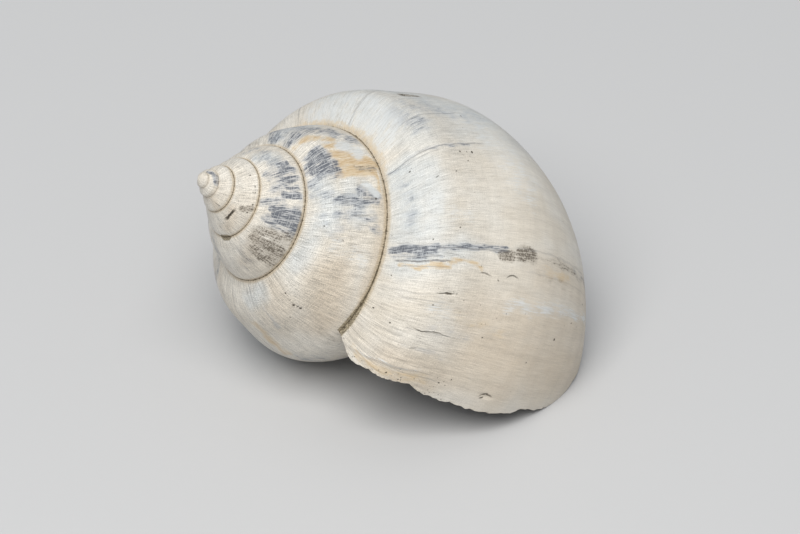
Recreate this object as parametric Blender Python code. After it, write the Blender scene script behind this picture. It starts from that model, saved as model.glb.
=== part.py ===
"""A fossil natica shell: one right-handed coiled shell with a hollow last whorl, lying on its mouth.

The shell grew as one piece, so it is one object. Its surface is a loft along a spiral: one whorl outline is
carried round the axis, and it gets wider and longer by a fixed share each turn. The loft is sewn to itself along
the seam between the whorls, goes in at the mouth as a tube with a wall's thickness to spare, and ends blind.
"""

import math

import bmesh
import bpy
import numpy as np
from mathutils import Matrix, Vector

# Growth: how much wider and how much longer the shell gets in one turn, and how many turns there are
WIDTH_GROWTH = 1.707
LENGTH_GROWTH = 1.859
TURNS = 5.6

# Outline of the last whorl at the lip, in millimetres: distance from the axis, distance from the apex.
# It starts at the seam, runs over the belly of the whorl and ends in the navel of the base. The growth
# rates give one more point, where the next turn's seam would lie, and SEAM_KNOT is its place in the list.
OUTLINE = [
    (16.83, 23.20),
    (24.51, 26.72),
    (27.14, 34.88),
    (27.57, 51.47),
    (23.95, 59.08),
    (17.47, 64.48),
    (9.04, 64.79),
    (5.20, 61.80),
    (3.90, 56.50),
]
SEAM_KNOT = 3
NAVEL_FLOOR = 40.0

# The spire is flatter than the last whorl: the share of the bulge over the chord from seam to seam that is
# gone at the outline's second and third point, in full at FLAT_TURN and before it
FLATTENED = {1: 0.88, 2: 0.59}
FLAT_TURN = -2.83

# The first turns stand out of the spiral as a pointed tip: by how many millimetres, and over which turns
TIP_RISE = 0.9
TIP_START = -3.2
TIP_FULL = -6.0
TIP_LENGTH = -0.85

# How far the lip and the growth lines lag behind a straight edge, in turns: a cubic in the share of the
# outline, the same from LAG_END on. The lip is broken, so it no longer runs along a growth line. Back in the
# whorl the rows of the loft lose the lag over LAG_REACH turns.
LIP_LAG = (-0.158, 0.248, -0.308)
GROWTH_LAG = (-0.204, 0.261, -0.118)
LAG_END = 0.82
LAG_REACH = 0.45

# Wall at the lip, deep in the whorl and along the columella, in millimetres; how far in the lip's thin wall
# goes, in turns; where the outline begins to be columella; and how far the hollow goes in, in turns
LIP_WALL = 0.8
DEEP_WALL = 1.5
COLUMELLA_WALL = 2.6
WALL_REACH = 0.12
COLUMELLA_START = 0.69
HOLLOW_TURNS = 0.8

# The broken edge of the lip: place and half width as shares of the outline, depth in millimetres, where a
# negative depth is a tongue that sticks out
LIP_CHIPS = [
    (0.055, 0.055, -1.10),
    (0.185, 0.045, 0.75),
    (0.460, 0.028, 0.65),
    (0.540, 0.055, -0.35),
    (0.640, 0.065, 1.20),
]
CHIP_REACH = 0.018

# The low thickened growth ridge just behind the lip: turns, turns, millimetres, share of the outline
RIDGE_TURN = -0.0048
RIDGE_WIDTH = 0.004
RIDGE_HEIGHT = 0.25
RIDGE_END = 0.46

# Pose on the table in degrees: the way the axis points from apex to base, how far it dips, the turn about
# it; then the place in millimetres of the pole, the point on the axis that the spiral winds out of
AXIS_HEADING = 23.6
AXIS_DIP = 39.1
AXIS_ROLL = -66.4
POLE = (-26.07, -8.09, 34.30)

# Size of the cutter that wears the flats it rests on
CUTTER_SIZE = 100.0

# Fineness of the loft
STEPS_PER_TURN = 48
LIP_STEPS = (-0.017, -0.013, -0.009, -0.004)
UPPER_COLUMNS = 12
LOWER_COLUMNS = 20
SPIRE_COLUMNS = (10, 7, 5, 4, 3, 3)
HOLLOW_ROWS = 14
COLUMELLA_COLUMNS = 4
FLOOR_GAP = 3

MM = 0.001


def spline(points, knots, where):
    """Natural cubic spline through the points, read at the given knot values."""
    count = len(knots)
    gap = np.diff(knots)
    slope = np.diff(points, axis=0) / gap[:, None]
    matrix = np.eye(count)
    right = np.zeros((count, 2))
    for i in range(1, count - 1):
        matrix[i, i - 1 : i + 2] = gap[i - 1], 2 * (gap[i - 1] + gap[i]), gap[i]
        right[i] = 6 * (slope[i] - slope[i - 1])
    bend = np.linalg.solve(matrix, right)
    k = np.clip(np.searchsorted(knots, where, side="right") - 1, 0, count - 2)
    width = gap[k][:, None]
    after = (where - knots[k])[:, None]
    before = (knots[k + 1] - where)[:, None]
    curve = (bend[k] * before**3 + bend[k + 1] * after**3) / (6 * width)
    curve += (points[k] / width - bend[k] * width / 6) * before
    curve += (points[k + 1] / width - bend[k + 1] * width / 6) * after
    return curve


next_seam = (OUTLINE[0][0] * WIDTH_GROWTH, OUTLINE[0][1] * LENGTH_GROWTH)
knot_points = np.array(OUTLINE[:SEAM_KNOT] + [next_seam] + OUTLINE[SEAM_KNOT:])
knot_lengths = np.r_[0, np.cumsum(np.linalg.norm(np.diff(knot_points, axis=0), axis=1))]
knot_shares = knot_lengths / knot_lengths[-1]
SEAM = knot_shares[SEAM_KNOT]

chord = knot_points[SEAM_KNOT] - knot_points[0]
chord_normal = np.array([chord[1], -chord[0]]) / np.linalg.norm(chord)
flat_points = np.zeros_like(knot_points)
for knot, gone in FLATTENED.items():
    bulge = (knot_points[knot] - knot_points[0]) @ chord_normal
    flat_points[knot] = bulge * gone * chord_normal


def outline(turns, shares):
    """Distance from the axis and from the apex, at a turn and at shares of the whorl outline."""
    flatness = np.clip(turns / FLAT_TURN, 0, 1)[:, None]
    return spline(knot_points, knot_shares, shares) - flatness * spline(flat_points, knot_shares, shares)


def outward(turns, shares):
    """Normal of the outline, pointing out of the shell."""
    step = 1e-4
    low = np.clip(shares, 0, 1 - step)
    along = outline(turns, low + step) - outline(turns, low)
    normal = np.stack([along[:, 1], -along[:, 0]], 1)
    return normal / np.linalg.norm(normal, axis=1)[:, None]


def smooth(x):
    """Goes from 0 to 1 without a corner."""
    x = np.clip(x, 0, 1)
    return x * x * (3 - 2 * x)


def lag(cubic, shares):
    """Turn of an edge or a growth line at shares of the outline, zero at the seam."""
    shares = np.minimum(shares, LAG_END)
    return cubic[0] * shares + cubic[1] * shares**2 + cubic[2] * shares**3


def chips(shares):
    """How far the broken edge of the lip is set back, in turns."""
    depth = np.zeros(len(shares))
    for middle, half_width, deep in LIP_CHIPS:
        depth += deep * smooth(1 - np.abs(shares - middle) / half_width)
    return depth / (2 * math.pi * outline(np.zeros(len(shares)), shares)[:, 0])


def slanted(turn, shares):
    """Turns along a row of the loft: as the lip runs near the lip, and straight further back."""
    near_lip = smooth((turn + LAG_REACH) / LAG_REACH)
    near_start = smooth((-1 + LAG_REACH - turn) / LAG_REACH)
    to_base = smooth((shares - SEAM) / (1 - SEAM))
    broken = chips(shares) * smooth((turn + CHIP_REACH) / CHIP_REACH)
    return turn + near_lip * lag(LIP_LAG, shares) - broken + near_start * lag(LIP_LAG, 1.0) * to_base


def place(turns, radii, lengths):
    """Points in the shell's own frame: the axis is Z, and Z grows from the apex to the base."""
    angle = 2 * math.pi * turns
    wide = radii * WIDTH_GROWTH**turns
    risen = TIP_RISE * smooth((TIP_START - turns) / (TIP_START - TIP_FULL))
    return np.stack([wide * np.cos(angle), wide * np.sin(angle), lengths * LENGTH_GROWTH**turns - risen], 1)


def outside(turn, shares):
    """A row of the outer surface, with the growth ridge on it near the lip."""
    turns = slanted(turn, shares)
    behind_ridge = (turns - lag(GROWTH_LAG, shares) - RIDGE_TURN) / RIDGE_WIDTH
    ends = smooth(shares / (RIDGE_END / 4)) * smooth((RIDGE_END - shares) / (RIDGE_END / 4))
    ridge = RIDGE_HEIGHT * np.exp(-(behind_ridge**2)) * ends
    size = outline(turns, shares) + outward(turns, shares) * ridge[:, None]
    return place(turns, size[:, 0], size[:, 1])


def inside(turn, shares):
    """A row of the hollow's outer wall: the outline set in by the thickness of the wall."""
    turns = slanted(turn, shares)
    wall = LIP_WALL + (DEEP_WALL - LIP_WALL) * smooth(-turn / WALL_REACH)
    wall = wall + (COLUMELLA_WALL - wall) * smooth((shares - COLUMELLA_START) / (1 - COLUMELLA_START))
    scale = np.stack([WIDTH_GROWTH**turns, LENGTH_GROWTH**turns], 1)
    normal = outward(turns, shares) / scale
    normal /= np.linalg.norm(normal, axis=1)[:, None]
    size = outline(turns, shares) - normal * wall[:, None] / scale
    return place(turns, size[:, 0], size[:, 1])


def under(turn, shares):
    """A row of the last whorl's own earlier turn, which the hollow lies on."""
    lean = smooth((turn + LAG_REACH) / LAG_REACH) * lag(LIP_LAG, 1.0)
    turns = turn - 1 + lean * smooth((shares - SEAM) / (1 - SEAM))
    size = outline(turns, shares)
    return place(turns, size[:, 0], size[:, 1])


class Loft:
    """Points of the shell and the triangles sewn between rows of them."""

    def __init__(self):
        self.mesh = bmesh.new()

    def add(self, points):
        return [self.mesh.verts.new(Vector([float(x) * MM for x in point])) for point in points]

    def sew(self, first, second):
        """Triangles between two rows, which may differ in their number of points."""
        a = b = 0
        while a < len(first) - 1 or b < len(second) - 1:
            next_a = (a + 1) / (len(first) - 1)
            next_b = (b + 1) / (len(second) - 1)
            if next_a <= next_b:
                self.mesh.faces.new([first[a], second[b], first[a + 1]])
                a += 1
            else:
                self.mesh.faces.new([first[a], second[b], second[b + 1]])
                b += 1

    def fan(self, centre, rim):
        for one, two in zip(rim, rim[1:] + rim[:1]):
            self.mesh.faces.new([centre, one, two])


def shell_mesh():
    """The whole closed surface of the shell, in its own frame."""
    loft = Loft()
    fractions = sorted([-i / STEPS_PER_TURN for i in range(1, STEPS_PER_TURN + 1)] + list(LIP_STEPS))
    steps = len(fractions)
    first_step = -int(TURNS * steps)

    def turn_at(step):
        return fractions[step % steps] + step // steps + 1

    # The seam line, shared by each whorl and the one before it
    seam_turns = np.array([turn_at(step) for step in range(first_step, 1)])
    seam = loft.add(place(seam_turns, *OUTLINE[0]))
    seam = dict(zip(range(first_step, 1), seam))

    # Spire: each row runs from its own seam point to the seam point of the next whorl
    rows = {}
    for step in range(first_step, -steps):
        columns = SPIRE_COLUMNS[min((-step - 1) // steps - 1, len(SPIRE_COLUMNS) - 1)]
        shares = np.linspace(0, SEAM, columns + 1)[1:-1]
        rows[step] = [seam[step]] + loft.add(outside(turn_at(step), shares)) + [seam[step + steps]]

    # Last whorl: each row runs from the seam to the navel
    upper = np.linspace(0, SEAM, UPPER_COLUMNS + 1)[1:-1]
    lower = np.linspace(SEAM, 1, LOWER_COLUMNS + 1)
    for step in range(-steps, 1):
        turn = turn_at(step)
        at_seam = [seam[0]] if step == -steps else loft.add(outside(turn, lower[:1]))
        rows[step] = [seam[step]] + loft.add(outside(turn, upper)) + at_seam + loft.add(outside(turn, lower[1:]))
    for step in range(first_step, 0):
        next_row = rows[step + 1]
        loft.sew(rows[step], next_row[: UPPER_COLUMNS + 1] if step + 1 == -steps else next_row)

    # Apex: a cap over the first turn
    first_turn = [seam[step] for step in range(first_step + steps - 1, first_step, -1)]
    loft.fan(loft.add([(0, 0, TIP_LENGTH)])[0], rows[first_step] + first_turn)

    # Hollow: loops from the mouth inwards, over the outer wall, the columella and the earlier turn
    wall_shares = np.concatenate([upper, lower])
    floor_shares = lower[1:-FLOOR_GAP]
    ways = np.linspace(0, 1, COLUMELLA_COLUMNS + 1)[1:-1, None]
    loops = []
    for row in range(HOLLOW_ROWS + 1):
        turn = -HOLLOW_TURNS * (row / HOLLOW_ROWS) ** 1.2
        wall = inside(turn, wall_shares)
        floor = under(turn, floor_shares)
        pillar = wall[-1] * (1 - ways) + floor[-1] * ways
        floor_points = rows[-steps][-LOWER_COLUMNS:-FLOOR_GAP] if row == 0 else loft.add(floor)
        loops.append([floor_points[0]] + loft.add(wall) + loft.add(pillar) + floor_points[:0:-1])
    for near_loop, deep_loop in zip(loops, loops[1:]):
        loft.sew(near_loop + near_loop[:1], deep_loop + deep_loop[:1])
    deep_end = sum((vert.co for vert in loops[-1]), Vector()) / len(loops[-1])
    loft.fan(loft.add([deep_end / MM])[0], loops[-1][::-1])

    # Mouth: the thin edge from the seam round the lip and up the columella
    top, bottom = rows[0][-1], rows[-steps][-1]
    ways = np.linspace(0, 1, COLUMELLA_COLUMNS + 2)[1:-1]
    columella = loft.add([top.co.lerp(bottom.co, way) / MM for way in ways])
    outer_edge = rows[0] + columella + rows[-steps][: -FLOOR_GAP - 1 : -1]
    inner_edge = loops[0][: len(wall_shares) + COLUMELLA_COLUMNS + 1]
    level = len(wall_shares)
    loft.sew(outer_edge[: level + 1], inner_edge[: level + 1])
    loft.sew(outer_edge[level:], inner_edge[level:])

    # Navel: closed by a cap on the axis
    navel_rim = [rows[step][-1] for step in range(-steps, 1)] + columella
    loft.fan(loft.add([(0, 0, NAVEL_FLOOR)])[0], navel_rim)
    return loft.mesh


def collection(name):
    made = bpy.data.collections.new(name)
    bpy.context.scene.collection.children.link(made)
    return made


def shell_material():
    """Pale, chalky shell with a faint shine."""
    material = bpy.data.materials.new("chalky shell")
    material.use_nodes = True
    surface = material.node_tree.nodes["Principled BSDF"]
    surface.inputs["Base Color"].default_value = (0.67, 0.62, 0.54, 1)
    surface.inputs["Roughness"].default_value = 0.6
    surface.inputs["Metallic"].default_value = 0
    return material


def main():
    for old in list(bpy.data.objects):
        bpy.data.objects.remove(old, do_unlink=True)
    mesh = bpy.data.meshes.new("shell")
    loft = shell_mesh()
    loft.to_mesh(mesh)
    loft.free()
    mesh.shade_smooth()
    mesh.materials.append(shell_material())
    shell = bpy.data.objects.new("shell", mesh)
    collection("fossil natica shell").objects.link(shell)
    turned = Matrix.Rotation(math.radians(AXIS_HEADING), 4, "Z")
    turned @= Matrix.Rotation(math.radians(90 + AXIS_DIP), 4, "Y")
    turned @= Matrix.Rotation(math.radians(AXIS_ROLL), 4, "Z")
    shell.matrix_world = Matrix.Translation(Vector(POLE) * MM) @ turned

    # The small worn flats that it rests on: all that would reach below the table is cut away
    bpy.ops.mesh.primitive_cube_add(size=CUTTER_SIZE * MM, location=(0, 0, -CUTTER_SIZE * MM / 2))
    cutter = bpy.context.object
    cutter.name = "table cutter"
    cutter.display_type = "WIRE"
    cutter.hide_render = True
    cutter.users_collection[0].objects.unlink(cutter)
    collection("cutters").objects.link(cutter)
    worn = shell.modifiers.new("worn flats", "BOOLEAN")
    worn.operation = "DIFFERENCE"
    worn.object = cutter


main()
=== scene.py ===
# %% [markdown]
# # A fossil natica shell, cell by cell
# This lesson dresses one fossil sea snail shell for a picture. The shell is one piece: it grew as one
# coiled tube, so it is one mesh with one material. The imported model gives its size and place, and stays
# hidden under the fine mesh that we make here. Lengths are in millimetres until the mesh is made, where
# MM turns them to metres.

# %% Load the frame
import math

import bpy
import numpy as np
from mathutils import Matrix, Vector, noise


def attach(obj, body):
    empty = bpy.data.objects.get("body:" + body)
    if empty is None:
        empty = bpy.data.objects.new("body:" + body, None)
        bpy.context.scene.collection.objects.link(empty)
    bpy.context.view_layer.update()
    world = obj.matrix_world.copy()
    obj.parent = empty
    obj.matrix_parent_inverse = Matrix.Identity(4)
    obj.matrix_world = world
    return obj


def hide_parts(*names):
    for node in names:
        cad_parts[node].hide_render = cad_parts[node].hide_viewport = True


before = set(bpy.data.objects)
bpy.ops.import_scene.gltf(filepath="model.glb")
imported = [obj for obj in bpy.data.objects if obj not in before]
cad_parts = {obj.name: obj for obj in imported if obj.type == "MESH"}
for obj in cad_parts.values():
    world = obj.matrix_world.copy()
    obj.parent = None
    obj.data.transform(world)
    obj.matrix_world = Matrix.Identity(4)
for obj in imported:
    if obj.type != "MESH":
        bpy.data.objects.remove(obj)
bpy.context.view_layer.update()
MM = 0.001

# %% [markdown]
# ## The camera
# A camera is easiest to match before anything else, because every later render can then be laid over
# the photograph. The pole is the point that the spiral winds out of. Its place in the picture, the
# height of the view, the scale there and the distance fix the camera, and a lens is only the ratio of
# distance to width.

# %% Camera
POLE = np.array([-26.07, -8.09, 34.30])
PICTURE_WIDTH = 800
PICTURE_HEIGHT = 534
POLE_PIXEL = (202.4, 178.5)
MM_PER_PIXEL = 0.1366
VIEW_ELEVATION = 37.95
VIEW_DISTANCE = 1646
SENSOR_WIDTH = 36


def place_camera():
    """The photograph's view: level with the X axis, looking down at the shell."""
    tilt = math.radians(VIEW_ELEVATION)
    right = np.array([1, 0, 0])
    up = np.array([0, math.sin(tilt), math.cos(tilt)])
    back = np.array([0, -math.cos(tilt), math.sin(tilt)])
    across = (PICTURE_WIDTH / 2 - POLE_PIXEL[0]) * MM_PER_PIXEL
    down = (PICTURE_HEIGHT / 2 - POLE_PIXEL[1]) * MM_PER_PIXEL
    camera = bpy.data.objects.new("camera", bpy.data.cameras.new("camera"))
    camera.location = Vector((POLE + across * right - down * up + VIEW_DISTANCE * back) * MM)
    camera.rotation_euler = (math.pi / 2 - tilt, 0, 0)
    camera.data.sensor_width = SENSOR_WIDTH
    camera.data.lens = SENSOR_WIDTH * VIEW_DISTANCE / (PICTURE_WIDTH * MM_PER_PIXEL)
    bpy.context.scene.collection.objects.link(camera)
    bpy.context.scene.camera = camera
    return camera


camera = place_camera()
print("lens", round(camera.data.lens), "mm")

# %% [markdown]
# ## The growth spiral
# A snail adds to the lip of its shell and keeps the shape while it grows. So the whole surface needs
# only one outline, from the seam over the belly of the whorl to the navel, and two growth rates. A
# point of the surface has two coordinates. Its turn is 0 at the lip and -1 one whorl earlier, and its
# share is 0 at the upper seam and 1 in the navel. A mesh could be sculpted by eye instead, but then no
# mark could be placed by turn and share.

# %% Spiral
WIDTH_GROWTH = 1.707
LENGTH_GROWTH = 1.859
OUTLINE = [
    (16.83, 23.2),
    (24.51, 26.72),
    (27.14, 34.88),
    (27.57, 51.47),
    (23.95, 59.08),
    (17.47, 64.48),
    (9.04, 64.79),
    (5.2, 61.8),
    (3.9, 56.5),
]
SEAM_KNOT = 3

next_seam = (OUTLINE[0][0] * WIDTH_GROWTH, OUTLINE[0][1] * LENGTH_GROWTH)
knot_points = np.array(OUTLINE[:SEAM_KNOT] + [next_seam] + OUTLINE[SEAM_KNOT:])
knot_lengths = np.r_[0, np.cumsum(np.linalg.norm(np.diff(knot_points, axis=0), axis=1))]
knot_shares = knot_lengths / knot_lengths[-1]
SEAM = knot_shares[SEAM_KNOT]
print("the outline is", round(float(knot_lengths[-1]), 1), "mm long")
print("the next turn's seam lies at share", round(float(SEAM), 4))

# %% [markdown]
# ## The outline of a whorl
# A smooth curve runs through the points of the outline. The spire is flatter than the last whorl: the
# further back a whorl lies, the nearer two of its points are to the straight line from seam to seam. A
# natural cubic spline needs few points and has no corners. A Blender curve could draw the same line,
# but here it has to be read at any share.

# %% Outline
FLATTENED = {1: 0.88, 2: 0.59}
FLAT_TURN = -2.83

chord = knot_points[SEAM_KNOT] - knot_points[0]
chord_normal = np.array([chord[1], -chord[0]]) / np.linalg.norm(chord)
flat_points = np.zeros_like(knot_points)
for knot, gone in FLATTENED.items():
    flat_points[knot] = (knot_points[knot] - knot_points[0]) @ chord_normal * gone * chord_normal


def spline(points, where):
    """Natural cubic spline through the points at the outline's knots, read at any shares."""
    count = len(knot_shares)
    gap = np.diff(knot_shares)
    slope = np.diff(points, axis=0) / gap[:, None]
    matrix = np.eye(count)
    right = np.zeros((count, 2))
    for i in range(1, count - 1):
        matrix[i, i - 1 : i + 2] = gap[i - 1], 2 * (gap[i - 1] + gap[i]), gap[i]
        right[i] = 6 * (slope[i] - slope[i - 1])
    bend = np.linalg.solve(matrix, right)
    k = np.clip(np.searchsorted(knot_shares, where, side="right") - 1, 0, count - 2)
    width = gap[k][..., None]
    after = (where - knot_shares[k])[..., None]
    before = (knot_shares[k + 1] - where)[..., None]
    curve = (bend[k] * before**3 + bend[k + 1] * after**3) / (6 * width)
    curve += (points[k] / width - bend[k] * width / 6) * before
    return curve + (points[k + 1] / width - bend[k + 1] * width / 6) * after


def smooth(x):
    """Goes from 0 to 1 without a corner."""
    x = np.clip(x, 0, 1)
    return x * x * (3 - 2 * x)


def outline(turns, shares):
    """Distance from the axis and from the pole, before growth."""
    flatness = np.clip(turns / FLAT_TURN, 0, 1)[..., None]
    return spline(knot_points, shares) - flatness * spline(flat_points, shares)


lip_at_seam = outline(np.zeros(1), np.array([SEAM]))[0]
print("at the next seam the lip is", round(float(lip_at_seam[0]), 1), "mm from the axis")

# %% [markdown]
# ## Winding
# Winding carries the outline round the axis, wider and longer with each turn. The first turns stand out
# of the spiral as a pointed tip. Neither the lip nor a growth line is a straight edge: over the belly
# both lie a small part of a turn behind, and a cubic says how much. The age of a point is the growth
# line that it lies on, so a growth stop or a stain along a growth line has one age from seam to navel.

# %% Winding
TIP_RISE = 0.9
TIP_START = -3.2
TIP_FULL = -6.0
LIP_LAG = (-0.158, 0.248, -0.308)
GROWTH_LAG = (-0.204, 0.261, -0.118)
LAG_END = 0.82


def lag(cubic, shares):
    """How far the lip or a growth line lies behind a straight edge, in turns."""
    shares = np.minimum(shares, LAG_END)
    return cubic[0] * shares + cubic[1] * shares**2 + cubic[2] * shares**3


def age(turns, shares):
    """The growth line that a point lies on, as a turn: 0 at the full-grown lip."""
    return turns - lag(GROWTH_LAG, shares)


def wound(turns, sizes):
    """Winds sizes, as outline gives them, round the axis, which is Z here, from pole to base."""
    angle = 2 * math.pi * turns
    wide = sizes[..., 0] * WIDTH_GROWTH**turns
    risen = TIP_RISE * smooth((TIP_START - turns) / (TIP_START - TIP_FULL))
    long = sizes[..., 1] * LENGTH_GROWTH**turns - risen
    return np.stack([wide * np.cos(angle), wide * np.sin(angle), long], -1)


def surface(turns, shares):
    return wound(turns, outline(turns, shares))


print("at the next seam a growth line lies", round(float(-lag(GROWTH_LAG, SEAM)), 3), "turns behind")

# %% [markdown]
# ## Relief
# Real shells are never as smooth as their formula. Growth stops and starts leave low waves along the
# growth lines, a narrow ridge runs behind the lip, the seam is a small gutter that dirt fills at its
# end, and there are a few chips and hollows. These are real shapes, so they move the points of the
# mesh. A displacement map would need far more faces. The hair-fine growth lines are left to the
# material.

# %% Relief
GIRTH = 173
REACH = 69.5
RIDGE_SHARES = [0.0, 0.03, 0.06, 0.11, 0.15, 0.24]
RIDGE_AGES = [0.0060, 0.0027, -0.0038, -0.0098, -0.0116, -0.0160]
RIDGE_WIDTH = 0.0015
RIDGE_HEIGHT = 0.15
RIDGE_STEP = 0.05
RIDGE_TAPER = 0.1
WAVE_HEIGHT = 0.07
WAVE_SCALE = (26, 3)
SWELL_HEIGHT = 0.10
SWELL_SCALE = (5, 5)
CALM_SHARE = 0.05
GUTTER_DEPTH = 0.15
GUTTER_WIDTH = 0.012
FILL_HEIGHT = 0.42
FILL_REACH = 0.09
FILL_WIDTH = 0.009
CRUMB_SCALE = (160, 150)
DENT_EDGE = 1.2
DENTS = [
    ("chip on the crown", -0.331, 0.215, 0.6, 1.6, 0.35),
    ("chip behind the lip", -0.008, 0.352, 0.45, 1.1, 0.22),
    ("gash on the fourth whorl", -2.985, 0.131, 0.9, 0.3, 0.1),
    ("hollow under the crown", -0.55, 0.45, 2.6, 3.4, 0.22),
]


def noise_at(x, y, seed):
    """Smooth noise from -1 to 1 for arrays of coordinates."""
    flat = zip(np.ravel(x), np.ravel(y))
    return np.array([noise.noise(Vector((a, b, seed))) for a, b in flat]).reshape(np.shape(x))


def dents(lines, shares):
    """Depth of the chips and hollows. Each has a place, and a half length along and across the growth."""
    depth = np.zeros_like(lines)
    for _, dent_age, dent_share, along, across, deep in DENTS:
        whorl_size = WIDTH_GROWTH**dent_age
        away = np.hypot(
            (lines - dent_age) * GIRTH * whorl_size / along,
            (shares - dent_share) * REACH * whorl_size / across,
        )
        depth = depth + deep * smooth(DENT_EDGE - away)
    return depth


def relief(turns, shares):
    """How far the outside stands proud of the smooth spiral, in millimetres."""
    lines = age(turns, shares)
    size = WIDTH_GROWTH**turns
    behind_ridge = (lines - np.interp(shares, RIDGE_SHARES, RIDGE_AGES)) / RIDGE_WIDTH
    ends = smooth(shares / RIDGE_SHARES[1]) * smooth((RIDGE_SHARES[-1] - shares) / RIDGE_TAPER)
    ridge = (RIDGE_HEIGHT * np.exp(-(behind_ridge**2)) - RIDGE_STEP * smooth(behind_ridge)) * ends
    waves = WAVE_HEIGHT * noise_at(lines * WAVE_SCALE[0], shares * WAVE_SCALE[1], 1.5)
    swells = SWELL_HEIGHT * noise_at(turns * SWELL_SCALE[0], shares * SWELL_SCALE[1], 7.5)
    gutter = GUTTER_DEPTH * np.exp(-((shares / GUTTER_WIDTH) ** 2))
    crumbs = 0.8 + 0.4 * noise_at(turns * CRUMB_SCALE[0], shares * CRUMB_SCALE[1], 4.5)
    fill = FILL_HEIGHT * smooth((turns + FILL_REACH) / FILL_REACH)
    fill = fill * np.exp(-((shares / FILL_WIDTH) ** 2))
    gutter = gutter - fill * crumbs
    calm = smooth(shares / CALM_SHARE)
    return ridge + (waves + swells) * size * calm - gutter * size - dents(lines, shares)


def outside(turns, shares):
    """Points of the outer surface with its relief."""
    step = 1e-4
    low = np.clip(shares, 0, 1 - step)
    base = surface(turns, low)
    onward = surface(turns + step, low) - base
    across = surface(turns, low + step) - base
    normal = np.cross(onward, across)
    normal /= np.linalg.norm(normal, axis=-1, keepdims=True)
    return surface(turns, shares) + normal * relief(turns, shares)[..., None]


probe = np.linspace(0, 1, 5)
print("relief along the lip", np.round(relief(probe * 0, probe), 2), "mm")

# %% [markdown]
# ## The broken lip
# The lip is thin and has broken off. Five wide bites and tongues give its outline as the photograph
# shows it, and noise at three sizes makes it ragged. Cutting a whole lip with a Boolean would leave
# slivers, so the last rows of the mesh are pulled back instead.

# %% Broken lip
LIP_CHIPS = [
    (0.055, 0.055, -1.1),
    (0.185, 0.045, 0.75),
    (0.46, 0.028, 0.65),
    (0.54, 0.055, -0.35),
    (0.64, 0.065, 1.2),
]
CHIP_REACH = 0.018
RAGS = ((0.20, 42), (0.17, 120), (0.11, 290))
LAG_REACH = 0.45


def chips(shares):
    """How far the broken edge of the lip is set back, in turns."""
    depth = sum(deep * noise_at(shares * scale, shares * 0, 3.5) for deep, scale in RAGS)
    for middle, half_width, deep in LIP_CHIPS:
        depth = depth + deep * smooth(1 - np.abs(shares - middle) / half_width)
    return depth / (2 * math.pi * outline(shares * 0, shares)[..., 0])


def slanted(turn, shares):
    """Turns along a row of the mesh: as the lip runs near the lip, and straight further back."""
    near_lip = smooth((turn + LAG_REACH) / LAG_REACH)
    near_start = smooth((-1 + LAG_REACH - turn) / LAG_REACH)
    to_base = smooth((shares - SEAM) / (1 - SEAM))
    broken = chips(shares) * smooth((turn + CHIP_REACH) / CHIP_REACH)
    return turn + near_lip * lag(LIP_LAG, shares) - broken + near_start * lag(LIP_LAG, 1.0) * to_base


print("the lip is broken back by up to", round(float(chips(np.linspace(0, 1, 400)).max()), 4), "turns")

# %% [markdown]
# ## A skin of points and faces
# Rows of points run across the whorls and follow each other round the spiral. Neighbouring rows with
# the same number of points are woven with four-cornered faces, and rows with different numbers are sewn
# with triangles. Every corner of a face also gets its growth coordinates. They are kept per corner,
# because at a seam the same point belongs to two whorls and has two pairs of coordinates.

# %% Skin builder
OUTSIDE, EDGE, HOLLOW = 0.0, 0.5, 1.0


class Skin:
    """Points and faces of the shell, with turn, share and zone at each corner of a face."""

    def __init__(self):
        self.points = []
        self.count = 0
        self.quads, self.quad_marks = [], []
        self.triangles, self.triangle_marks = [], []

    def add(self, points):
        """Adds points and gives their numbers."""
        self.points.append(np.reshape(points, (-1, 3)))
        self.count += len(self.points[-1])
        return np.arange(self.count - len(self.points[-1]), self.count)

    def weave(self, rows):
        """Faces between rows of equal length. A row is its point numbers and their marks."""
        index = np.stack([row[0] for row in rows])
        marks = np.stack([row[1] for row in rows])
        here, there = slice(None, -1), slice(1, None)
        corners = [(here, here), (there, here), (there, there), (here, there)]
        self.quads.append(np.stack([index[c] for c in corners], -1).reshape(-1, 4))
        self.quad_marks.append(np.stack([marks[c] for c in corners], -2).reshape(-1, 4, 3))

    def triangle(self, *corners):
        self.triangles.append([corner[0] for corner in corners])
        self.triangle_marks.append([corner[1] for corner in corners])

    def sew(self, first, second):
        """Triangles between two rows, which may differ in their number of points."""
        first, second = list(zip(*first)), list(zip(*second))
        a = b = 0
        while a < len(first) - 1 or b < len(second) - 1:
            if (a + 1) / (len(first) - 1) <= (b + 1) / (len(second) - 1):
                self.triangle(first[a], second[b], first[a + 1])
                a += 1
            else:
                self.triangle(first[a], second[b], second[b + 1])
                b += 1

    def fan(self, centre, rim):
        """Triangles from one point to a closed ring."""
        ring = list(zip(*rim))
        for one, two in zip(ring, ring[1:] + ring[:1]):
            self.triangle((centre, one[1]), one, two)

    def mesh(self, name):
        """A Blender mesh with the marks as a corner attribute."""
        quads = np.concatenate(self.quads)
        faces = quads.tolist() + self.triangles
        made = bpy.data.meshes.new(name)
        made.from_pydata((np.concatenate(self.points) * MM).tolist(), [], faces)
        marks = np.concatenate([np.concatenate(self.quad_marks).ravel(), np.ravel(self.triangle_marks)])
        made.attributes.new("growth", "FLOAT_VECTOR", "CORNER").data.foreach_set("vector", marks)
        return made


def marked(turns, shares, zone):
    """Marks for points: turn, share and zone."""
    turns, shares = np.broadcast_arrays(turns, shares)
    return np.stack([turns, shares, np.full(turns.shape, zone)], -1)


def joined(*rows):
    """One row out of several."""
    return np.concatenate([row[0] for row in rows]), np.concatenate([row[1] for row in rows])


def part_of(row, *cut):
    """A slice of a row."""
    return row[0][slice(*cut)], row[1][slice(*cut)]


skin = Skin()
print("a skin has three zones: outside", OUTSIDE, "broken edge", EDGE, "hollow", HOLLOW)

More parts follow.
